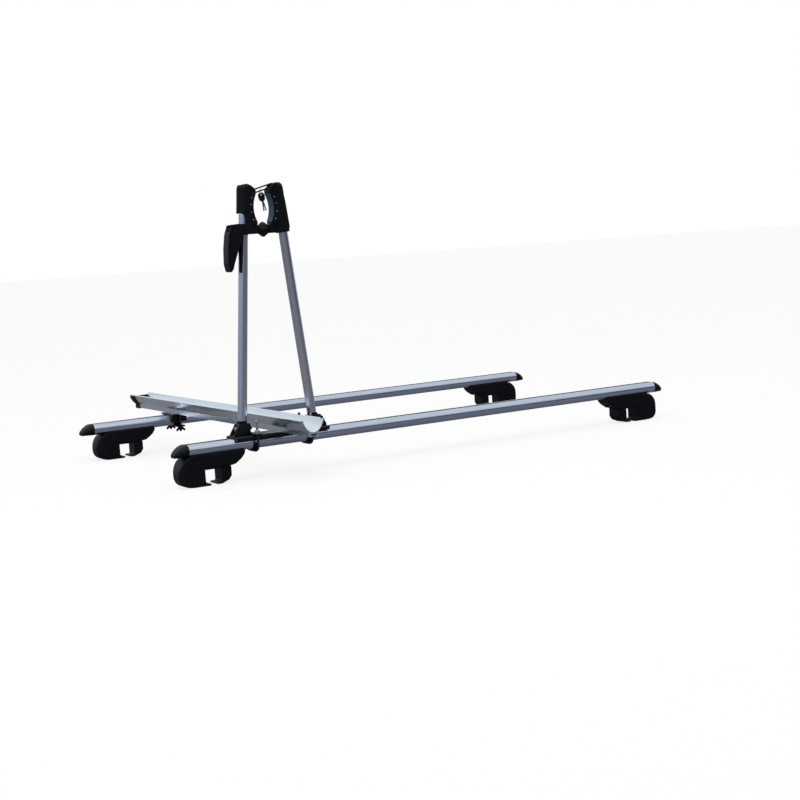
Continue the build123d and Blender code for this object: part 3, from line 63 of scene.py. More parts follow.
# %% Camera
YAW, PITCH, ROLL = radians(29.88), radians(-6.05), radians(-3.93)
CAMERA_PLACE = (-1.905, -3.497, 0.519)
LENS, SENSOR, FAR_CLIP = 66.6, 36, 200
look = Vector((sin(YAW) * cos(PITCH), cos(YAW) * cos(PITCH), sin(PITCH)))
level = Vector((cos(YAW), -sin(YAW), 0))
upright = level.cross(look)
right = level * cos(ROLL) + upright * sin(ROLL)
up = upright * cos(ROLL) - level * sin(ROLL)
camera = bpy.data.objects.new("photo_camera", bpy.data.cameras.new("photo_camera"))
turn = Matrix((right, up, -look)).transposed().to_4x4()
camera.matrix_world = Matrix.Translation(CAMERA_PLACE) @ turn
camera.data.lens = LENS
camera.data.sensor_width = SENSOR
camera.data.clip_end = FAR_CLIP
scene.collection.objects.link(camera)
scene.camera = camera
print("camera looks along", look)

# %% [markdown]
# Bare metal shows what stands around it, so the world matters more here than the lamp. It is a pale
# overcast sky: blue-grey at the horizon and white overhead. Near the horizon it is light on the left and
# dark on the right, because the round tubes need a light side and a dark side to look round. What lies
# straight ahead is bright, and the tray's floor shows it. A single even sky would be simpler, but it makes
# metal look like paint. The camera itself sees plain white, which a Light Path node picks out.

# %% Helper that adds a node with its settings and links
def add(tree, kind, settings=None, **inputs):
    """Add one shader or geometry node. Inputs are values or output sockets, by socket name.

    An input called i0, i1 and so on goes by its number, for sockets that share a name.
    """
    node = tree.nodes.new(kind)
    for key, value in (settings or {}).items():
        setattr(node, key, value)
    for key, value in inputs.items():
        name = key.replace("_", " ")
        socket = node.inputs[int(key[1:])] if key[0] == "i" and key[1:].isdigit() else node.inputs[name]
        if isinstance(value, bpy.types.NodeSocket):
            tree.links.new(value, socket)
        else:
            socket.default_value = value
    return node


def linear(text):
    """Turn an sRGB hex colour into the linear values that a shader takes."""
    parts = [int(text[i : i + 2], 16) / 255 for i in (1, 3, 5)]
    return tuple(p / 12.92 if p <= 0.04045 else ((p + 0.055) / 1.055) ** 2.4 for p in parts) + (1,)


# %% Helper for colour ramps
def set_stops(node, stops):
    """Give a colour ramp its stops."""
    elements = node.color_ramp.elements
    while len(elements) < len(stops):
        elements.new(0.5)
    for element, (position, colour) in zip(elements, stops):
        element.position, element.color = position, linear(colour)
    return node.outputs["Color"]


# %% Sky
# On a Mix node set to RGBA, inputs 6 and 7 are its two colours and output 2 is the result.
SKY_STRENGTH = 0.9
world = bpy.data.worlds.new("overcast_sky")
scene.world = world
world.use_nodes = True
tree = world.node_tree
tree.nodes.clear()
direction = add(tree, "ShaderNodeTexCoord").outputs["Generated"]
height = add(tree, "ShaderNodeSeparateXYZ", Vector=direction).outputs["Z"]
sky = set_stops(add(tree, "ShaderNodeValToRGB", Fac=height), [
    (0.0, "#b4bccb"), (0.15, "#c9d2df"), (0.4, "#f4f7fc"), (1.0, "#ffffff"),
])
across = add(tree, "ShaderNodeVectorMath", {"operation": "DOT_PRODUCT"}, i0=direction, i1=tuple(level))
side_place = add(tree, "ShaderNodeMapRange", Value=across.outputs["Value"], From_Min=-1.0, From_Max=1.0)
side_light = set_stops(add(tree, "ShaderNodeValToRGB", Fac=side_place.outputs["Result"]), [
    (0.05, "#dbe5f4"), (0.38, "#e4e9f1"), (0.6, "#aeabb2"), (0.95, "#5d606a"),
])
near_horizon = add(tree, "ShaderNodeMapRange", Value=height, From_Min=0.5, From_Max=0.2)
sky = add(tree, "ShaderNodeMix", {"data_type": "RGBA", "blend_type": "MULTIPLY"},
          i0=near_horizon.outputs["Result"], i6=sky, i7=side_light).outputs[2]
ahead = add(tree, "ShaderNodeVectorMath", {"operation": "DOT_PRODUCT"}, i0=direction, i1=tuple(look))
far_share = add(tree, "ShaderNodeMapRange", Value=ahead.outputs["Value"], From_Min=0.2, From_Max=0.7)
sky = add(tree, "ShaderNodeMix", {"data_type": "RGBA"},
          i0=far_share.outputs["Result"], i6=sky, i7=linear("#eef5fb")).outputs[2]
rays = add(tree, "ShaderNodeLightPath")
seen = add(tree, "ShaderNodeBackground", Color=linear("#ffffff"), Strength=1.0)
lit = add(tree, "ShaderNodeBackground", Color=sky, Strength=SKY_STRENGTH)
mixed = add(tree, "ShaderNodeMixShader",
            i0=rays.outputs["Is Camera Ray"], i1=lit.outputs[0], i2=seen.outputs[0])
add(tree, "ShaderNodeOutputWorld", Surface=mixed.outputs[0])
print(world.name, len(tree.nodes), "nodes")

# %% [markdown]
# The floor reaches sixty metres each way. Its far edge lies almost on the horizon, and shows there as a
# faint line before the white sky. One large soft lamp, high and to the left, is there for the black
# plastics, since the metals mostly show the sky.

# %% Floor and lamp
FLOOR_REACH = 60
floor_mesh = bpy.data.meshes.new("floor")
floor_mesh.from_pydata([
    (-FLOOR_REACH, -FLOOR_REACH, 0), (FLOOR_REACH, -FLOOR_REACH, 0),
    (FLOOR_REACH, FLOOR_REACH, 0), (-FLOOR_REACH, FLOOR_REACH, 0),
], [], [(0, 1, 2, 3)])
floor = bpy.data.objects.new("floor", floor_mesh)
scene.collection.objects.link(floor)

LAMP_PLACE, LAMP_TARGET = Vector((-1.2, -1.4, 3.2)), Vector((0, 0, 0.2))
LAMP_SIZE, LAMP_POWER, LAMP_COLOUR = 2.6, 38, "#fff6ea"
lamp_data = bpy.data.lights.new("sky_lamp", "AREA")
lamp_data.shape, lamp_data.size, lamp_data.energy = "SQUARE", LAMP_SIZE, LAMP_POWER
lamp_data.color = linear(LAMP_COLOUR)[:3]
lamp = bpy.data.objects.new("sky_lamp", lamp_data)
lamp.location = LAMP_PLACE
lamp.rotation_euler = (LAMP_TARGET - LAMP_PLACE).to_track_quat("-Z", "Y").to_euler()
scene.collection.objects.link(lamp)
print("floor", 2 * FLOOR_REACH, "m wide,", lamp.name, LAMP_POWER, "W")

# %% [markdown]
# Materials. Each one starts from what the real surface is and how it was made. All patterns read Object
# coordinates, which are metres, so a noise scale of 1000 gives features of about a millimetre.

# %% Shared material builder
finishes = {}


def finish(name, colour, metallic, roughness, **sockets):
    """New material with its Principled shader; returns its tree and shader."""
    material = bpy.data.materials.new(name)
    material.use_nodes = True
    tree = material.node_tree
    tree.nodes.clear()
    shader = add(tree, "ShaderNodeBsdfPrincipled",
                 Base_Color=linear(colour), Metallic=metallic, Roughness=roughness)
    for key, value in sockets.items():
        shader.inputs[key.replace("_", " ")].default_value = value
    add(tree, "ShaderNodeOutputMaterial", Surface=shader.outputs["BSDF"])
    finishes[name] = material
    return tree, shader


def wear(tree, shader, pattern, colours, roughness, grain, depth):
    """Let a slow pattern move colour and roughness, and a fine one the bump. Depth is in metres."""
    ramp = add(tree, "ShaderNodeValToRGB", Fac=pattern)
    colour = set_stops(ramp, [(0.35, colours[0]), (0.7, colours[1])])
    tree.links.new(colour, shader.inputs["Base Color"])
    spread = add(tree, "ShaderNodeMapRange",
                 Value=pattern, From_Min=0.3, From_Max=0.7, To_Min=roughness[0], To_Max=roughness[1])
    tree.links.new(spread.outputs["Result"], shader.inputs["Roughness"])
    bump = add(tree, "ShaderNodeBump", Height=grain, Distance=depth, Strength=0.5)
    tree.links.new(bump.outputs["Normal"], shader.inputs["Normal"])


def noise_on(tree, scale, detail=3.0, stretch=(1, 1, 1)):
    """Noise on Object coordinates; a small factor in stretch draws it out along that axis."""
    place = add(tree, "ShaderNodeTexCoord").outputs["Object"]
    moved = add(tree, "ShaderNodeMapping", Vector=place, Scale=stretch).outputs["Vector"]
    noise = add(tree, "ShaderNodeTexNoise", Vector=moved, Scale=scale, Detail=detail, Roughness=0.55)
    return noise.outputs["Fac"]


# %% [markdown]
# Anodised aluminium: the crossbars, tubes and tray are extrusions. The die leaves hair lines along the
# length, so the noise is drawn out along each profile's own axis, and it moves the colour and the
# roughness only a little. Real hair lines are finer. The noise has features of 1.4 mm, because finer ones
# wouldn't show. The anodising makes the shine soft, and the faint blue in the colours is painted
# reflection of the blue sky.

# %% Anodised aluminium
LENGTHWISE = 0.02  # draws the hair lines out fifty times
LINE_SCALE, LINE_DEPTH = 700.0, 0.00001
# The blue cast in these colours is painted reflection of the sky.
aluminiums = {
    "anodised_bar": ("#b9c4d6", "#c9d3e3", 0.22, (LENGTHWISE, 1, 1)),
    "anodised_tube": ("#c9ced6", "#d6dae1", 0.22, (1, 1, LENGTHWISE)),
    "anodised_tray": ("#e3ebf2", "#f0f6fa", 0.26, (1, LENGTHWISE, 1)),
}
for name, (dark, light, rough, stretch) in aluminiums.items():
    tree, shader = finish(name, light, 1.0, rough)
    lines = noise_on(tree, LINE_SCALE, 3.0, stretch)
    wear(tree, shader, lines, (dark, light), (rough - 0.02, rough + 0.03), lines, LINE_DEPTH)
print("aluminiums", sorted(aluminiums))

# %% [markdown]
# Moulded plastic: end caps, feet, jaws, lever and knob are black nylon or polypropylene. A spark-eroded
# mould gives them a matt grain of about half a millimetre, which spreads the sky's reflection to a dull
# grey-blue, and sun and rain turn parts of them a little paler. The rubber parts have the same grain,
# deeper and duller, and the pads on the gripping arcs are a blue-grey rubber. The grain is drawn two to
# three times as coarse as it is, so that it shows. The bows of the keys are a smoother plastic.

# %% Moulded black plastics and rubber
# Each line: dark and light colour, roughness, grain in millimetres, its depth in metres, specular level.
CLOUD_SCALE = 16.0
mouldings = {
    "moulded_plastic": ("#07090e", "#0d1118", 0.5, 1.2, 0.00012, 0.16),
    "glossy_plastic": ("#08090d", "#0d0f14", 0.28, 1.8, 0.00004, 0.35),
    "weather_rubber": ("#0e0f12", "#191b1f", 0.75, 1.6, 0.0002, 0.15),
    "pad_rubber": ("#3a4b5a", "#4d6272", 0.6, 1.4, 0.0002, 0.25),
}
for name, (dark, light, rough, grain, depth, level) in mouldings.items():
    tree, shader = finish(name, dark, 0.0, rough, Specular_IOR_Level=level)
    clouds = noise_on(tree, CLOUD_SCALE, 5.0)
    specks = noise_on(tree, 1000.0 / grain, 2.0)
    wear(tree, shader, clouds, (dark, light), (rough - 0.06, rough + 0.08), specks, depth)
print("mouldings", sorted(mouldings))

# %% [markdown]
# Powder coat: the saddle, brackets and plates are bent steel sheet, sprayed with powder and baked. The coat
# flows into a soft orange peel with waves of about two millimetres, and keeps a gloss that catches the sky
# on bends.
#
# Zinc plate: bolts, the jaws' screws and the wire loops are plated steel. The bath leaves faint clouds of
# grey and a fine spangle. The U-bolts, the lever's pin and the tray's bolts have a black passivated zinc,
# which is much darker. The lock is dark nickel, and the key blades and their ring are polished steel.

# %% Powder coat and plated steel
PEEL_SCALE, PEEL_DEPTH = 420.0, 0.00015
SPANGLE_SCALE, SPANGLE_DEPTH = 1500.0, 0.00003
tree, shader = finish("powder_coat", "#0d0f12", 0.0, 0.3, Specular_IOR_Level=0.3)
clouds, peel = noise_on(tree, 22.0), noise_on(tree, PEEL_SCALE, 1.0)
wear(tree, shader, clouds, ("#06070a", "#0d0f13"), (0.24, 0.38), peel, PEEL_DEPTH)
# Each line: dark and light colour, roughness, scale of the clouds.
platings = {
    "zinc_plate": ("#a9adb3", "#d2d5d9", 0.26, 60.0),
    "black_zinc": ("#33363c", "#4c5058", 0.4, 80.0),
    "lock_nickel": ("#25272c", "#383b41", 0.3, 90.0),
    "key_steel": ("#94979b", "#b4b7ba", 0.2, 120.0),
}
for name, (dark, light, rough, scale) in platings.items():
    tree, shader = finish(name, light, 1.0, rough)
    clouds, spangle = noise_on(tree, scale, 5.0), noise_on(tree, SPANGLE_SCALE)
    wear(tree, shader, clouds, (dark, light), (rough - 0.05, rough + 0.1), spangle, SPANGLE_DEPTH)
print("platings", sorted(platings))

# %% [markdown]
# The floor is matt studio paint, grey where the metal mirrors it. Where the camera looks at it, it is paler
# and a part of plain white is mixed in, so the picture has a white ground and keeps the soft shadow below
# the feet.

# %% Floor paint
WHITE_SHARE = 0.8
tree, shader = finish("floor_paint", "#807e84", 0.0, 0.8, Specular_IOR_Level=0.1)
clouds, grit = noise_on(tree, 3.0), noise_on(tree, 300.0)
wear(tree, shader, clouds, ("#7c7a80", "#848288"), (0.75, 0.85), grit, 0.0001)
tinted = shader.inputs["Base Color"].links[0].from_socket
rays = add(tree, "ShaderNodeLightPath").outputs["Is Camera Ray"]
pale = add(tree, "ShaderNodeMix", {"data_type": "RGBA"}, i0=rays, i6=tinted, i7=linear("#fafafa"))
tree.links.new(pale.outputs[2], shader.inputs["Base Color"])
white = add(tree, "ShaderNodeEmission", Color=linear("#ffffff"), Strength=1.0)
share = add(tree, "ShaderNodeMath", {"operation": "MULTIPLY"}, i0=rays, i1=WHITE_SHARE)
paint = add(tree, "ShaderNodeMixShader",
            i0=share.outputs[0], i1=shader.outputs[0], i2=white.outputs[0])
tree.links.new(paint.outputs[0], tree.nodes["Material Output"].inputs["Surface"])
floor_mesh.materials.append(finishes["floor_paint"])
print("floor_paint, white share", WHITE_SHARE)

# %% [markdown]
# Every node of the frame names a material slot. A small table gives each slot its finish, so a part that
# keeps its plain solid still gets the surface of the real one. Two nodes of plated steel are darker than
# the rest, and they are named on their own.

# %% Give each node of the frame its finish
surface_of = {
    "bar_aluminium": "anodised_bar", "tube_aluminium": "anodised_tube",
    "tray_aluminium": "anodised_tray",
    "black_plastic": "moulded_plastic", "black_rubber": "weather_rubber", "pad_rubber": "pad_rubber",
    "black_steel": "powder_coat", "zinc_steel": "zinc_plate", "lock_metal": "lock_nickel",
    "key_plastic": "glossy_plastic", "key_metal": "key_steel",
}
darkened = {"lever_pin": "black_zinc", "tray_bolts": "black_zinc"}
for entry in frame["record"]["subparts"]:
    node = nodes[entry["node"]]
    material = finishes[darkened.get(entry["node"], surface_of[entry["material_slot"]])]
    node.data.materials.clear()
    node.data.materials.append(material)
print("finishes", sorted(finishes))


# %% [markdown]
# Real moulded and pressed parts have no knife edges. A moulded part leaves its tool with corners rounded by
# a millimetre or two. Bevels would fail on shapes with so many cuts, so a copy of the plain solids is
# remeshed to small even squares and relaxed, which melts the corners and keeps the flats. A bent or cut
# metal part only has its burrs taken off, and there a narrow bevel does.

# %% Helpers: bodies, slots and places
body_of = {}
for body, members in frame["record"]["behaviour"]["bodies"].items():
    for member in members:
        body_of[member] = body


def centre(node_name):
    """Middle of a node's box."""
    low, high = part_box(node_name)
    return (Vector(low) + Vector(high)) / 2


MM = 0.001
carrier_x, bar_y, bar_z = centre("base_saddle").x, centre("front_bar").y, centre("front_bar").z


def holder(across, height, depth=0.0):
    """Place on the frame holder: millimetres across, above the bar's centre, and towards the rear."""
    return Vector((carrier_x + across * MM, bar_y + depth * MM, bar_z + height * MM))


# %% Helpers: from a mesh to a placed piece
def make_piece(name, mesh, surface, like, replaced=(), angle=35):
    """Put a finished mesh into the scene and let it ride where a node rides.

    Edges that turn by more than the angle look sharp, and at 180 all of it looks smooth.
    """
    piece = bpy.data.objects.new(name, mesh)
    scene.collection.objects.link(piece)
    mesh.materials.clear()
    mesh.materials.append(finishes[surface])
    mesh.shade_smooth()
    if angle < 180:
        mesh.set_sharp_from_angle(angle=radians(angle))
    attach(piece, body_of[like])
    if replaced:
        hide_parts(*replaced)
    print(name, "on", body_of[like], len(mesh.polygons), "faces")


def baked(mesh, steps):
    """Run modifiers over a mesh and return the plain result."""
    work = bpy.data.objects.new("work", mesh)
    scene.collection.objects.link(work)
    for kind, settings in steps:
        modifier = work.modifiers.new(kind, kind)
        for key, value in settings.items():
            setattr(modifier, key, value)
    finished = work.evaluated_get(bpy.context.evaluated_depsgraph_get())
    result = bpy.data.meshes.new_from_object(finished)
    bpy.data.objects.remove(work)
    return result


def to_mesh(shape):
    """Turn a bmesh into a mesh."""
    mesh = bpy.data.meshes.new("shape")
    shape.to_mesh(mesh)
    shape.free()
    return mesh


# %% Helpers: copies of nodes, and melted corners
RELAX = 0.5  # how far one round moves a corner towards its neighbours


def copy_of(node_name):
    """Copy of a node with its loose triangles merged."""
    shape = bmesh.new()
    shape.from_mesh(nodes[node_name].data)
    bmesh.ops.remove_doubles(shape, verts=shape.verts, dist=0.01 * MM)
    return shape


def melted(mesh, square, rounds):
    """Remesh to even squares in millimetres, then relax the corners."""
    return baked(mesh, [
        ("REMESH", {"mode": "VOXEL", "voxel_size": square * MM}),
        ("SMOOTH", {"factor": RELAX, "iterations": rounds}),
    ])


def joined(meshes):
    """Put meshes together in one; overlaps vanish when the result is melted."""
    shape = bmesh.new()
    for mesh in meshes:
        shape.from_mesh(mesh)
    return to_mesh(shape)


# %% [markdown]
# The rail feet are glass-filled nylon. Each has a fat rounded shell at its outer end that flows without a
# seam into a wedge below the bar. The plain solids give the wedge and the shell, so they are melted
# together, and the shell is relaxed longer than the rest, because it is rounded like a pebble. The claws
# that grip the rails and the caps on the bars' ends are melted by themselves.

# %% Rail feet and end caps
# Each pair: the square in millimetres and the rounds of relaxing.
COVER_MELT, WEDGE_MELT, FOOT_MELT = (1.5, 26), (1.3, 6), (1.2, 5)
CLAW_MELT, CAP_MELT = (1.2, 6), (1.0, 7)
for corner in ("front_left", "front_right", "rear_left", "rear_right"):
    cover_name, wedge_name, claw_name = corner + "_foot_cover", corner + "_foot_body", corner + "_rail_jaw"
    shell = melted(to_mesh(copy_of(cover_name)), *COVER_MELT)
    wedge = melted(to_mesh(copy_of(wedge_name)), *WEDGE_MELT)
    foot = melted(joined([shell, wedge]), *FOOT_MELT)
    make_piece(corner + "_foot_shell", foot, "moulded_plastic", wedge_name, (wedge_name, cover_name), 180)
    claw = melted(to_mesh(copy_of(claw_name)), *CLAW_MELT)
    make_piece(corner + "_rail_claw", claw, "moulded_plastic", claw_name, (claw_name,), 180)
caps = melted(to_mesh(copy_of("end_caps")), *CAP_MELT)
make_piece("bar_end_caps", caps, "moulded_plastic", "end_caps", ("end_caps",), 180)

# %% [markdown]
# The two jaws are moulded in one with the sleeves that hold the tubes. From the front their outer corners
# are full curves. So each solid is first cut to a rounded outline, then melted together with its link
# sleeve and a small web where jaw and sleeve meet. A shoulder on the outer side carries the flank down to
# the sleeve, and the sleeve's top is rounded like a dome.

# %% Helpers: outlines and prisms
CORNER_REACH = 0.45  # a round takes at most this share of each edge


def rounded(corners, radius, steps=5):
    """Round every corner of a closed outline."""
    points = []
    for i, corner in enumerate(corners):
        here = Vector(corner)
        before = Vector(corners[i - 1]) - here
        after = Vector(corners[(i + 1) % len(corners)]) - here
        reach = min(radius, before.length * CORNER_REACH, after.length * CORNER_REACH)
        start, end = here + before.normalized() * reach, here + after.normalized() * reach
        for step in range(steps + 1):
            t = step / steps
            points.append(start * (1 - t) ** 2 + here * 2 * t * (1 - t) + end * t**2)
    return points


def prism(outline, low, high):
    """Extrude a front-view outline in millimetres between two depths."""
    shape = bmesh.new()
    face = shape.faces.new([shape.verts.new(holder(x, z, low)) for x, z in outline])
    pulled = bmesh.ops.extrude_face_region(shape, geom=[face])["geom"]
    moved = [part for part in pulled if isinstance(part, bmesh.types.BMVert)]
    bmesh.ops.translate(shape, verts=moved, vec=(0, (high - low) * MM, 0))
    bmesh.ops.recalc_face_normals(shape, faces=shape.faces)
    return shape


def cut(mesh, tool, operation):
    """Boolean of a mesh with a tool mesh."""
    tool_object = bpy.data.objects.new("tool", tool)
    scene.collection.objects.link(tool_object)
    settings = {"operation": operation, "object": tool_object, "solver": "EXACT"}
    result = baked(mesh, [("BOOLEAN", settings)])
    bpy.data.objects.remove(tool_object)
    return result


# %% Outlines of the jaws
# Millimetres across and above the bar, seen from the front.
outlines = {
    "left": [(-62.4, 470), (-62.4, 594), (-32, 593), (-12, 575), (-12, 470)],
    "right": [(12, 470), (12, 587), (27, 594), (70, 594), (70, 470)],
}
corner_radius = {"left": 13.0, "right": 6.0}
webs = {
    "left": [(-48, 479), (-48, 503), (-17.5, 500.6), (-17.5, 479)],
    "right": [(17.5, 479), (17.5, 500.6), (48, 501), (48, 479)],
}
shoulders = {
    "left": [(-59, 531), (-59, 527.5), (-54, 526), (-50.5, 523),
             (-48.5, 518), (-47.5, 510), (-40, 510), (-40, 531)],
    "right": rounded([(39, 484), (39, 593.6), (49, 593.6), (57.2, 549), (62.2, 505), (64.5, 483)], 9.0),
}
for side in ("left", "right"):
    print(side, "jaw outline", outlines[side])

# %% Dome over a jaw's sleeve
SLEEVE_TOP, SLEEVE_AXIS, SLEEVE_RADIUS = 594.0, 40.2, 16.0
DOME, DOME_BLEND = 10.0, 4.0  # its height, and the strip inside the axis over which it fades


def domed(mesh, sign):
    """Round the top of a jaw's sleeve outside the tube's axis like a dome."""
    for vertex in mesh.vertices:
        local = vertex.co - holder(0, 0)
        outside = sign * local.x / MM - SLEEVE_AXIS
        if outside > -DOME_BLEND:
            spread = (max(outside, 0) ** 2 + (local.y / MM) ** 2) ** 0.5
            beyond = min(max(spread - (SLEEVE_RADIUS - DOME), 0), DOME)
            limit = SLEEVE_TOP - DOME + (DOME**2 - beyond**2) ** 0.5
            limit += (SLEEVE_TOP - limit) * min(max(-outside / DOME_BLEND, 0), 1)
            vertex.co.z = min(vertex.co.z, bar_z + limit * MM)
    return mesh


# %% Jaws with their link sleeves
JAW_HALF, WEB_INSET, SHOULDER_INSET = 14.0, 2.5, 0.6
JAW_MELT, DOME_ROUNDS = (0.8, 7), 3
for side, sign in (("left", -1), ("right", 1)):
    jaw_name, sleeve_name = side + "_jaw", side + "_link_sleeve"
    outline = prism(rounded(outlines[side], corner_radius[side]), -2 * JAW_HALF, 2 * JAW_HALF)
    jaw = cut(to_mesh(copy_of(jaw_name)), to_mesh(outline), "INTERSECT")
    sleeve = to_mesh(copy_of(sleeve_name))
    web = to_mesh(prism(webs[side], -JAW_HALF + WEB_INSET, JAW_HALF - WEB_INSET))
    shoulder = to_mesh(prism(shoulders[side], -JAW_HALF + SHOULDER_INSET, JAW_HALF - SHOULDER_INSET))
    shell = domed(melted(joined([jaw, sleeve, web, shoulder]), *JAW_MELT), sign)
    shell = baked(shell, [("SMOOTH", {"factor": RELAX, "iterations": DOME_ROUNDS})])
    make_piece(side + "_jaw_shell", shell, "moulded_plastic", jaw_name, (jaw_name, sleeve_name), 180)

# %% [markdown]
# The clamp lever is a moulded leaf, smooth to the hand, and so is the seat that its cam presses on. Both
# are melted from their solids, the lever for longer, because a hand closes round it.

# %% Clamp lever and cam seat
LEVER_MELT, SEAT_MELT = (0.8, 12), (0.8, 4)
lever = melted(to_mesh(copy_of("clamp_lever")), *LEVER_MELT)
make_piece("lever_leaf", lever, "moulded_plastic", "clamp_lever", ("clamp_lever",), 180)
seat = melted(to_mesh(copy_of("cam_seat")), *SEAT_MELT)
make_piece("cam_seat_block", seat, "moulded_plastic", "cam_seat", ("cam_seat",), 180)

# %% [markdown]
# A thin plastic collar goes round the left tube. It is a lathe shape: a short profile is turned about the
# tube's leaning centre line.

# %% Helper for turned shapes
def turned(profile, origin, axis, spokes=48, hollow=False):
    """Lathe shape: pairs of millimetres along the axis and out from it. A hollow profile closes on itself."""
    axis = Vector(axis).normalized()
    out = axis.orthogonal().normalized()
    other = axis.cross(out)
    shape = bmesh.new()
    rings = []
    for along, radius in profile:
        rings.append([
            shape.verts.new(origin + axis * along * MM + (out * cos(turn) + other * sin(turn)) * radius * MM)
            for turn in (2 * pi * i / spokes for i in range(spokes))
        ])
    pairs = list(zip(rings, rings[1:])) + ([(rings[-1], rings[0])] if hollow else [])
    for ring, following in pairs:
        for i in range(spokes):
            j = (i + 1) % spokes
            shape.faces.new((ring[i], ring[j], following[j], following[i]))
    if not hollow:
        shape.faces.new(rings[0])
        shape.faces.new(rings[-1])
    bmesh.ops.recalc_face_normals(shape, faces=shape.faces)
    return to_mesh(shape)


# %% Collar on the left tube
TUBE_RADIUS = 11.0
TUBE_FOOT, TUBE_LEAN = (-91.4, 34.0), 0.09136
COLLAR_LOW, COLLAR_HIGH, COLLAR_OUT, COLLAR_EDGE = 477.0, 502.0, 11.75, 0.4


def tube_middle(height):
    """How far the left tube's centre line is from the carrier's middle."""
    return TUBE_FOOT[0] + (height - TUBE_FOOT[1]) * TUBE_LEAN


collar_foot = holder(tube_middle(COLLAR_LOW), COLLAR_LOW)
lean = holder(tube_middle(COLLAR_HIGH), COLLAR_HIGH) - collar_foot
tall = lean.length / MM
collar = turned([
    (0, TUBE_RADIUS), (COLLAR_EDGE, COLLAR_OUT), (tall - COLLAR_EDGE, COLLAR_OUT), (tall, TUBE_RADIUS),
], collar_foot, lean, hollow=True)
make_piece("tube_collar", collar, "moulded_plastic", "left_tube")

# %% [markdown]
# A thin guard is glued to the tube below the collar, so that the lever's cheek doesn't scratch the
# anodising. It narrows to a blunt point, and it is bent round the tube, so it is built as a grid on a
# cylinder. A flat sheet bent by a modifier would do too, but the grid puts each point straight on the
# leaning tube.

# %% Guard on the left tube
def outward(mesh):
    """Turn the faces of a closed mesh outwards."""
    shape = bmesh.new()
    shape.from_mesh(mesh)
    bmesh.ops.recalc_face_normals(shape, faces=shape.faces)
    shape.to_mesh(mesh)
    shape.free()
    return mesh


GUARD_TOP, GUARD_LOW, GUARD_THICK = 478.0, 391.0, 0.7
GUARD_TURN = (-0.498, -0.867)  # where its zero line faces: across, and towards the rear
GUARD_WIDE, GUARD_NARROW = (-1.0, 0.24), (-0.32, 0.0)  # its two edges, at the top and at the lower end
GUARD_ROWS, GUARD_COLUMNS = 30, 16
shape = bmesh.new()
rows = []
for row in range(GUARD_ROWS + 1):
    share = row / GUARD_ROWS
    height = GUARD_TOP + (GUARD_LOW - GUARD_TOP) * share
    ends = [wide + (narrow - wide) * share for wide, narrow in zip(GUARD_WIDE, GUARD_NARROW)]
    line = []
    for column in range(GUARD_COLUMNS + 1):
        side_share = ends[0] + (ends[1] - ends[0]) * column / GUARD_COLUMNS
        ahead = (1 - side_share**2) ** 0.5
        across = TUBE_RADIUS * (ahead * GUARD_TURN[0] - side_share * GUARD_TURN[1])
        deep = TUBE_RADIUS * (ahead * GUARD_TURN[1] + side_share * GUARD_TURN[0])
        line.append(shape.verts.new(holder(tube_middle(height) + across, height, deep)))
    rows.append(line)
for above, below in zip(rows, rows[1:]):
    for i in range(GUARD_COLUMNS):
        shape.faces.new((above[i], below[i], below[i + 1], above[i + 1]))
guard = baked(to_mesh(shape), [("SOLIDIFY", {"thickness": GUARD_THICK * MM, "offset": 1.0})])
make_piece("tube_guard", outward(guard), "moulded_plastic", "left_tube")

# %% [markdown]
# The adjusting knob is gripped between finger and thumb, so it swells in the middle and has eight lobes. It
# is a lathe shape about the draw rod, whose radius also waves round the turn.

# %% Adjusting knob
low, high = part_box("adjusting_knob")
middle, half = (low + high) / 2, (high.x - low.x) / 2
KNOB_END, KNOB_SWELL, SWELL_POWER = 10.0, 6.9, 1.5
LOBES, LOBE_DEPTH, END_LOBE = 8, 0.6, 0.3  # the lobes are shallower at the knob's ends
KNOB_STEPS, KNOB_SPOKES = 24, 96
shape = bmesh.new()
rings = []
for step in range(KNOB_STEPS + 1):
    along = -1 + step / (KNOB_STEPS / 2)
    swell = cos(pi / 2 * abs(along)) ** SWELL_POWER if abs(along) < 1 else 0.0
    ring = []
    for spoke in range(KNOB_SPOKES):
        turn = 2 * pi * spoke / KNOB_SPOKES
        wave = LOBE_DEPTH * (END_LOBE + swell) / (1 + END_LOBE) * cos(LOBES * turn)
        radius = (KNOB_END + KNOB_SWELL * swell + wave) * MM
        point = middle + Vector((along * half, radius * cos(turn), radius * sin(turn)))
        ring.append(shape.verts.new(point))
    rings.append(ring)
for ring, following in zip(rings, rings[1:]):
    for i in range(KNOB_SPOKES):
        j = (i + 1) % KNOB_SPOKES
        shape.faces.new((ring[i], ring[j], following[j], following[i]))
for ring in (rings[0], rings[-1]):
    shape.faces.new(ring)
make_piece("lobed_knob", outward(to_mesh(shape)), "moulded_plastic",
           "adjusting_knob", ("adjusting_knob",), 50)

# %% [markdown]
# The frame is gripped by rubber pads in the two arcs. Each pad is a thin band with ribs across it. The ribs
# repeat along an arc, so Geometry Nodes lay them: a curve through three points is divided, a thin rod is
# set on each point, and the rods join the band that the modifier sits on.

# %% Helpers that make a node tree and run it over a mesh
def node_tree(name, inputs):
    """New geometry tree with named inputs; returns the tree and the sockets that give its inputs."""
    tree = bpy.data.node_groups.new(name, "GeometryNodeTree")
    tree.interface.new_socket("Geometry", in_out="INPUT", socket_type="NodeSocketGeometry")
    for title, kind in inputs.items():
        tree.interface.new_socket(title, in_out="INPUT", socket_type="NodeSocket" + kind)
    tree.interface.new_socket("Geometry", in_out="OUTPUT", socket_type="NodeSocketGeometry")
    return tree, add(tree, "NodeGroupInput").outputs


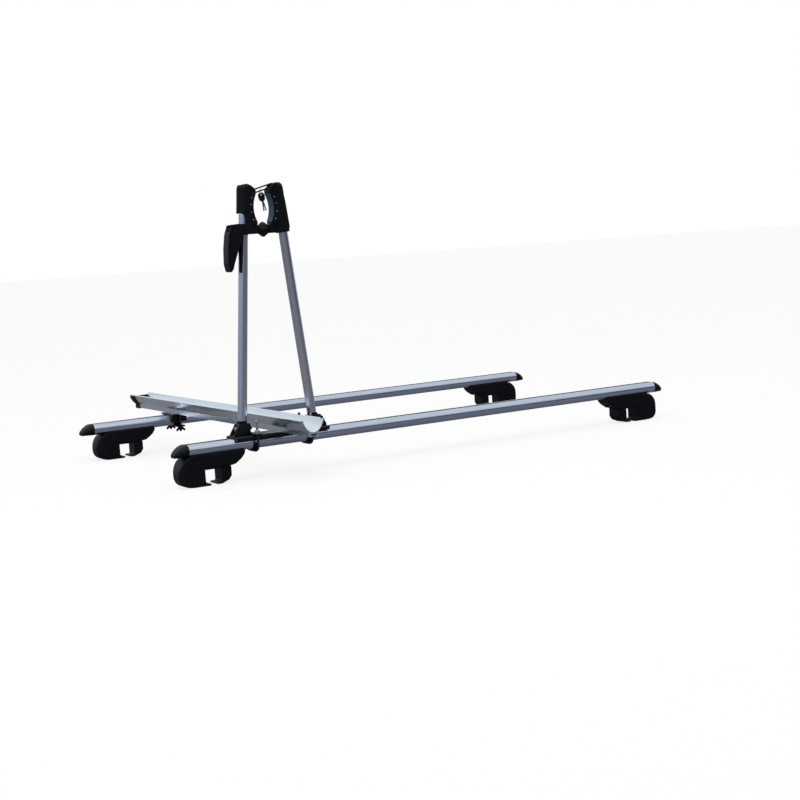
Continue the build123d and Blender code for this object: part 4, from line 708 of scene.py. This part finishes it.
def grown(mesh, tree, values):
    """Run a geometry tree over a mesh and return the plain result."""
    work = bpy.data.objects.new("work", mesh)
    scene.collection.objects.link(work)
    modifier = work.modifiers.new(tree.name, "NODES")
    modifier.node_group = tree
    for socket in tree.interface.items_tree:
        if socket.in_out == "INPUT" and socket.name in values:
            modifier[socket.identifier] = values[socket.name]
    finished = work.evaluated_get(bpy.context.evaluated_depsgraph_get())
    result = bpy.data.meshes.new_from_object(finished)
    work.modifiers.remove(modifier)
    bpy.data.objects.remove(work)
    return result


# %% Node tree that lays ribs along an arc
RIB_SIDES, ARC_STEPS = 12, 64
tree, given = node_tree("gripping_ribs", {
    "Start": "Vector", "Middle": "Vector", "End": "Vector",
    "Ribs": "Int", "Width": "Float", "Thickness": "Float",
})
arc = add(tree, "GeometryNodeCurveArc", {"mode": "POINTS"},
          Start=given["Start"], Middle=given["Middle"], End=given["End"], Resolution=ARC_STEPS)
spread = add(tree, "GeometryNodeResampleCurve", Curve=arc.outputs["Curve"], Count=given["Ribs"])
half_thick = add(tree, "ShaderNodeMath", {"operation": "MULTIPLY"}, i0=given["Thickness"], i1=0.5)
rod = add(tree, "GeometryNodeMeshCylinder", {"fill_type": "NGON"},
          Vertices=RIB_SIDES, Radius=half_thick.outputs[0], Depth=given["Width"])
lying = add(tree, "GeometryNodeTransform", Geometry=rod.outputs["Mesh"], Rotation=(pi / 2, 0, 0))
laid = add(tree, "GeometryNodeInstanceOnPoints",
           Points=spread.outputs["Curve"], Instance=lying.outputs["Geometry"])
together = add(tree, "GeometryNodeJoinGeometry", Geometry=given["Geometry"])
tree.links.new(laid.outputs["Instances"], together.inputs["Geometry"])
real = add(tree, "GeometryNodeRealizeInstances", Geometry=together.outputs["Geometry"])
painted = add(tree, "GeometryNodeSetMaterial",
              Geometry=real.outputs["Geometry"], Material=finishes["pad_rubber"])
add(tree, "NodeGroupOutput", i0=painted.outputs["Geometry"])
print(tree.name, len(tree.nodes), "nodes")

# %% Arc that the pads follow
# The right pad's lower end, middle and upper end: millimetres across, and above the bar's centre.
PAD_ARC, PAD_STEPS = [(17.6, 504.0), (25.5, 535.5), (17.6, 568.0)], 33


def arc_points(start, middle, end, count):
    """Centre and radius of the arc through three points, and turns that divide it evenly."""
    (x1, z1), (x2, z2), (x3, z3) = start, middle, end
    twice = 2 * (x1 * (z2 - z3) + x2 * (z3 - z1) + x3 * (z1 - z2))
    squares = [x * x + z * z for x, z in (start, middle, end)]
    cx = (squares[0] * (z2 - z3) + squares[1] * (z3 - z1) + squares[2] * (z1 - z2)) / twice
    cz = (squares[0] * (x3 - x2) + squares[1] * (x1 - x3) + squares[2] * (x2 - x1)) / twice
    radius = ((x1 - cx) ** 2 + (z1 - cz) ** 2) ** 0.5
    first, last = asin((z1 - cz) / radius), asin((z3 - cz) / radius)
    turns = [first + (last - first) * i / (count - 1) for i in range(count)]
    return (cx, cz), radius, turns


(arc_x, arc_z), arc_radius, turns = arc_points(*PAD_ARC, PAD_STEPS)
print("pad arc", round(arc_radius, 2), "mm about", round(arc_x, 2), round(arc_z, 2))

# %% Ribbed pads in the gripping arcs
PAD_HALF, PAD_INWARD, PAD_OUTWARD = 13.5, -0.5, 0.8
RIB_COUNT, RIB_THICK = 17, 1.7


def pad_edge(sign, offset):
    """One long edge of a pad's band, beside the arc by the offset."""
    radius = arc_radius + offset
    return [(sign * (arc_x + radius * cos(t)), arc_z + radius * sin(t)) for t in turns]


for side, sign in (("left", -1), ("right", 1)):
    inner, outer = pad_edge(sign, PAD_INWARD), pad_edge(sign, PAD_OUTWARD)
    band = to_mesh(prism(inner + outer[::-1], -PAD_HALF, PAD_HALF))
    ends = [holder(sign * x, z) for x, z in PAD_ARC]
    pad = grown(band, tree, {
        "Start": ends[0], "Middle": ends[1], "End": ends[2],
        "Ribs": RIB_COUNT, "Width": 2 * PAD_HALF * MM, "Thickness": RIB_THICK * MM,
    })
    make_piece(side + "_ribbed_pad", pad, "pad_rubber", side + "_jaw_pad", (side + "_jaw_pad",), 30)

# %% [markdown]
# Four small screws hold each jaw's halves together. Each has a pan head with a cross recess. They repeat,
# so a node tree cuts the cross once and sets the head on every point of a mesh that holds only their
# places.

# %% Node tree that sets cross heads on points
HEAD_TAPER, HEAD_SIDES = 0.78, 28
SLOT_WIDTH, SLOT_LENGTH, SLOT_HEIGHT = 0.00065, 0.0032, 0.001  # metres, as the tree's inputs are
tree, given = node_tree("cross_heads", {"Head": "Float", "Height": "Float"})
top_radius = add(tree, "ShaderNodeMath", {"operation": "MULTIPLY"}, i0=given["Head"], i1=HEAD_TAPER)
blank = add(tree, "GeometryNodeMeshCone", {"fill_type": "NGON"}, Vertices=HEAD_SIDES,
            Radius_Bottom=given["Head"], Radius_Top=top_radius.outputs[0], Depth=given["Height"])
lift = add(tree, "ShaderNodeCombineXYZ", Z=given["Height"])
slots = add(tree, "GeometryNodeJoinGeometry")
for size in ((SLOT_WIDTH, SLOT_LENGTH, SLOT_HEIGHT), (SLOT_LENGTH, SLOT_WIDTH, SLOT_HEIGHT)):
    bar = add(tree, "GeometryNodeMeshCube", Size=size)
    raised = add(tree, "GeometryNodeTransform",
                 Geometry=bar.outputs["Mesh"], Translation=lift.outputs["Vector"])
    tree.links.new(raised.outputs["Geometry"], slots.inputs["Geometry"])
crossed = add(tree, "GeometryNodeMeshBoolean", {"operation": "DIFFERENCE", "solver": "EXACT"},
              i0=blank.outputs["Mesh"], Self_Intersection=True)
tree.links.new(slots.outputs["Geometry"], crossed.inputs[1])
facing = add(tree, "GeometryNodeTransform", Geometry=crossed.outputs["Mesh"], Rotation=(pi / 2, 0, 0))
laid = add(tree, "GeometryNodeInstanceOnPoints",
           Points=given["Geometry"], Instance=facing.outputs["Geometry"])
real = add(tree, "GeometryNodeRealizeInstances", Geometry=laid.outputs["Instances"])
painted = add(tree, "GeometryNodeSetMaterial",
              Geometry=real.outputs["Geometry"], Material=finishes["zinc_plate"])
add(tree, "NodeGroupOutput", i0=painted.outputs["Geometry"])
print(tree.name, len(tree.nodes), "nodes")

# %% Cross-head screws in the jaws
HEAD_RADIUS, HEAD_HEIGHT = 2.5, 1.3
SCREW_FACE, SCREW_OUTWARD = -14.3, 7.0  # depth of the jaws' front, and how far outside the arc they sit
SCREW_HEIGHTS = (510.0, 526.9, 545.0, 560.0)
for side, sign in (("left", -1), ("right", 1)):
    places = []
    for z in SCREW_HEIGHTS:
        x = arc_x + ((arc_radius + SCREW_OUTWARD) ** 2 - (z - arc_z) ** 2) ** 0.5
        places.append(holder(sign * x, z, SCREW_FACE))
    seats = bpy.data.meshes.new("seats")
    seats.from_pydata(places, [], [])
    heads = grown(seats, tree, {"Head": HEAD_RADIUS * MM, "Height": HEAD_HEIGHT * MM})
    screws_name = side + "_jaw_screws"
    make_piece(side + "_cross_screws", heads, "zinc_plate", screws_name, (screws_name,), 30)

# %% [markdown]
# Bent and cut steel keeps its flats, so these parts only lose their burrs: a narrow bevel runs along each
# edge and catches the light as the real ones do. The triangles of each flat are joined first, so that the
# bevel meets whole faces.

# %% Helper that takes the burrs off
BURR, BURR_ANGLE, FLAT_ANGLE = 0.8, 40, 1


def deburred(piece_name, node_name, shape):
    """Stand-in for a steel node: flats joined, and a narrow bevel on the edges."""
    bmesh.ops.dissolve_limit(shape, angle_limit=radians(FLAT_ANGLE), verts=shape.verts, edges=shape.edges)
    settings = {"width": BURR * MM, "segments": 2, "limit_method": "ANGLE"}
    settings["angle_limit"] = radians(BURR_ANGLE)
    mesh = baked(to_mesh(shape), [("BEVEL", settings)])
    make_piece(piece_name, mesh, "powder_coat", node_name, (node_name,), 30)


# %% Saddle and other steel parts
# The saddle's flanges end above the bar's centre, so all of the plate below that height is cut off.
FLANGE_END = 9.0
saddle = copy_of("base_saddle")
cut_line = bmesh.ops.bisect_plane(
    saddle, geom=saddle.verts[:] + saddle.edges[:] + saddle.faces[:],
    plane_co=holder(0, FLANGE_END), plane_no=(0, 0, 1), clear_inner=True,
)
open_edges = [part for part in cut_line["geom_cut"] if isinstance(part, bmesh.types.BMEdge)]
bmesh.ops.holes_fill(saddle, edges=open_edges)
deburred("base_saddle_plate", "base_saddle", saddle)
for name in ("left_foot_bracket", "right_foot_bracket", "clamp_plates", "rear_clamp_saddle"):
    deburred(name + "_deburred", name, copy_of(name))

# %% [markdown]
# Black caps cover the nuts of the pivot bolts, inside the foot brackets. Each is a small dome on a
# cylinder, so its profile is turned about the bolt.

# %% Nut caps
CAP_PROFILE = [(-9.5, 1.2), (-9.2, 3.0), (-8.2, 4.9), (-6.5, 5.9), (-3.0, 6.2), (0.0, 6.2)]
CAP_ACROSS, CAP_SPOKES = 77.5, 32
for side, sign in (("left", -1), ("right", 1)):
    seat = centre(side + "_pivot_bolt")
    seat.x = carrier_x + sign * CAP_ACROSS * MM
    cap = turned(CAP_PROFILE, seat, (sign, 0, 0), CAP_SPOKES)
    make_piece(side + "_nut_cap", cap, "moulded_plastic", side + "_pivot_bolt")

# %% [markdown]
# Two U-bolts, bent from round rod, go under the front bar. Their hand nuts are a small round hub with a
# wire loop welded on, which is turned by hand. Rod and wire are each a smooth curve with a round bevel,
# made a mesh at once, and the loop stands nearly edge-on to the camera.

# %% Helper for round wire
def wire(points, radius):
    """Round wire along a smooth curve through the points, as a mesh."""
    data = bpy.data.curves.new("wire", "CURVE")
    data.dimensions, data.use_fill_caps = "3D", True
    data.bevel_depth, data.bevel_resolution = radius * MM, 4
    spline = data.splines.new("NURBS")
    spline.points.add(len(points) - 1)
    for point, place in zip(spline.points, points):
        point.co = (*place, 1)
    spline.order_u, spline.use_endpoint_u, spline.resolution_u = 3, True, 8
    work = bpy.data.objects.new("wire", data)
    scene.collection.objects.link(work)
    finished = work.evaluated_get(bpy.context.evaluated_depsgraph_get())
    mesh = bpy.data.meshes.new_from_object(finished)
    bpy.data.objects.remove(work)
    return mesh


# %% U-bolts
# Each pair: millimetres towards the rear, and above the bar's centre.
BOLT_ROD, BOLT_PLACES = 2.9, (-70, 70)
bolt_line = [
    (-35, 30), (-35, 2), (-33.5, -13), (-22, -19), (0, -19.4), (22, -19), (33.5, -13), (35, 2), (35, 30),
]
rods = []
for across in BOLT_PLACES:
    rods.append(wire([holder(across, height, depth) for depth, height in bolt_line], BOLT_ROD))
make_piece("black_u_bolts", joined(rods), "black_zinc", "u_bolts", ("u_bolts",), 40)

# %% Hand nuts with wire loops
HUB_PROFILE = [(0.1, 4.1), (0.1, 6.4), (5.4, 6.4), (6.4, 5.4), (6.4, 4.1)]
LOOP_TURN, LOOP_HALF, LOOP_WIRE = radians(50), 3.9, 1.6
LOOP_SPREAD, LOOP_FOOT, LOOP_KNEE, LOOP_BEND, LOOP_GAP = 1.25, 4, 9, 5, 0.1
rise = Vector((0, 0, MM))
for side in ("left", "right"):
    low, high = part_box(side + "_hand_nut")
    foot = (low + high) / 2
    foot.z = low.z
    tall = (high.z - low.z) / MM
    hub = turned(HUB_PROFILE, foot, (0, 0, 1), hollow=True)
    reach = Vector((cos(LOOP_TURN), sin(LOOP_TURN), 0)) * LOOP_HALF * MM
    top = tall - LOOP_WIRE - LOOP_GAP
    half_loop = [(LOOP_SPREAD, LOOP_FOOT), (LOOP_SPREAD, LOOP_KNEE), (1, top - LOOP_BEND), (1, top)]
    path = [foot - reach * out + rise * above for out, above in half_loop]
    path += [foot + reach * out + rise * above for out, above in reversed(half_loop)]
    loop = wire(path, LOOP_WIRE)
    nut_name = side + "_hand_nut"
    make_piece(side + "_loop_nut", joined([hub, loop]), "zinc_plate", nut_name, (nut_name,), 40)
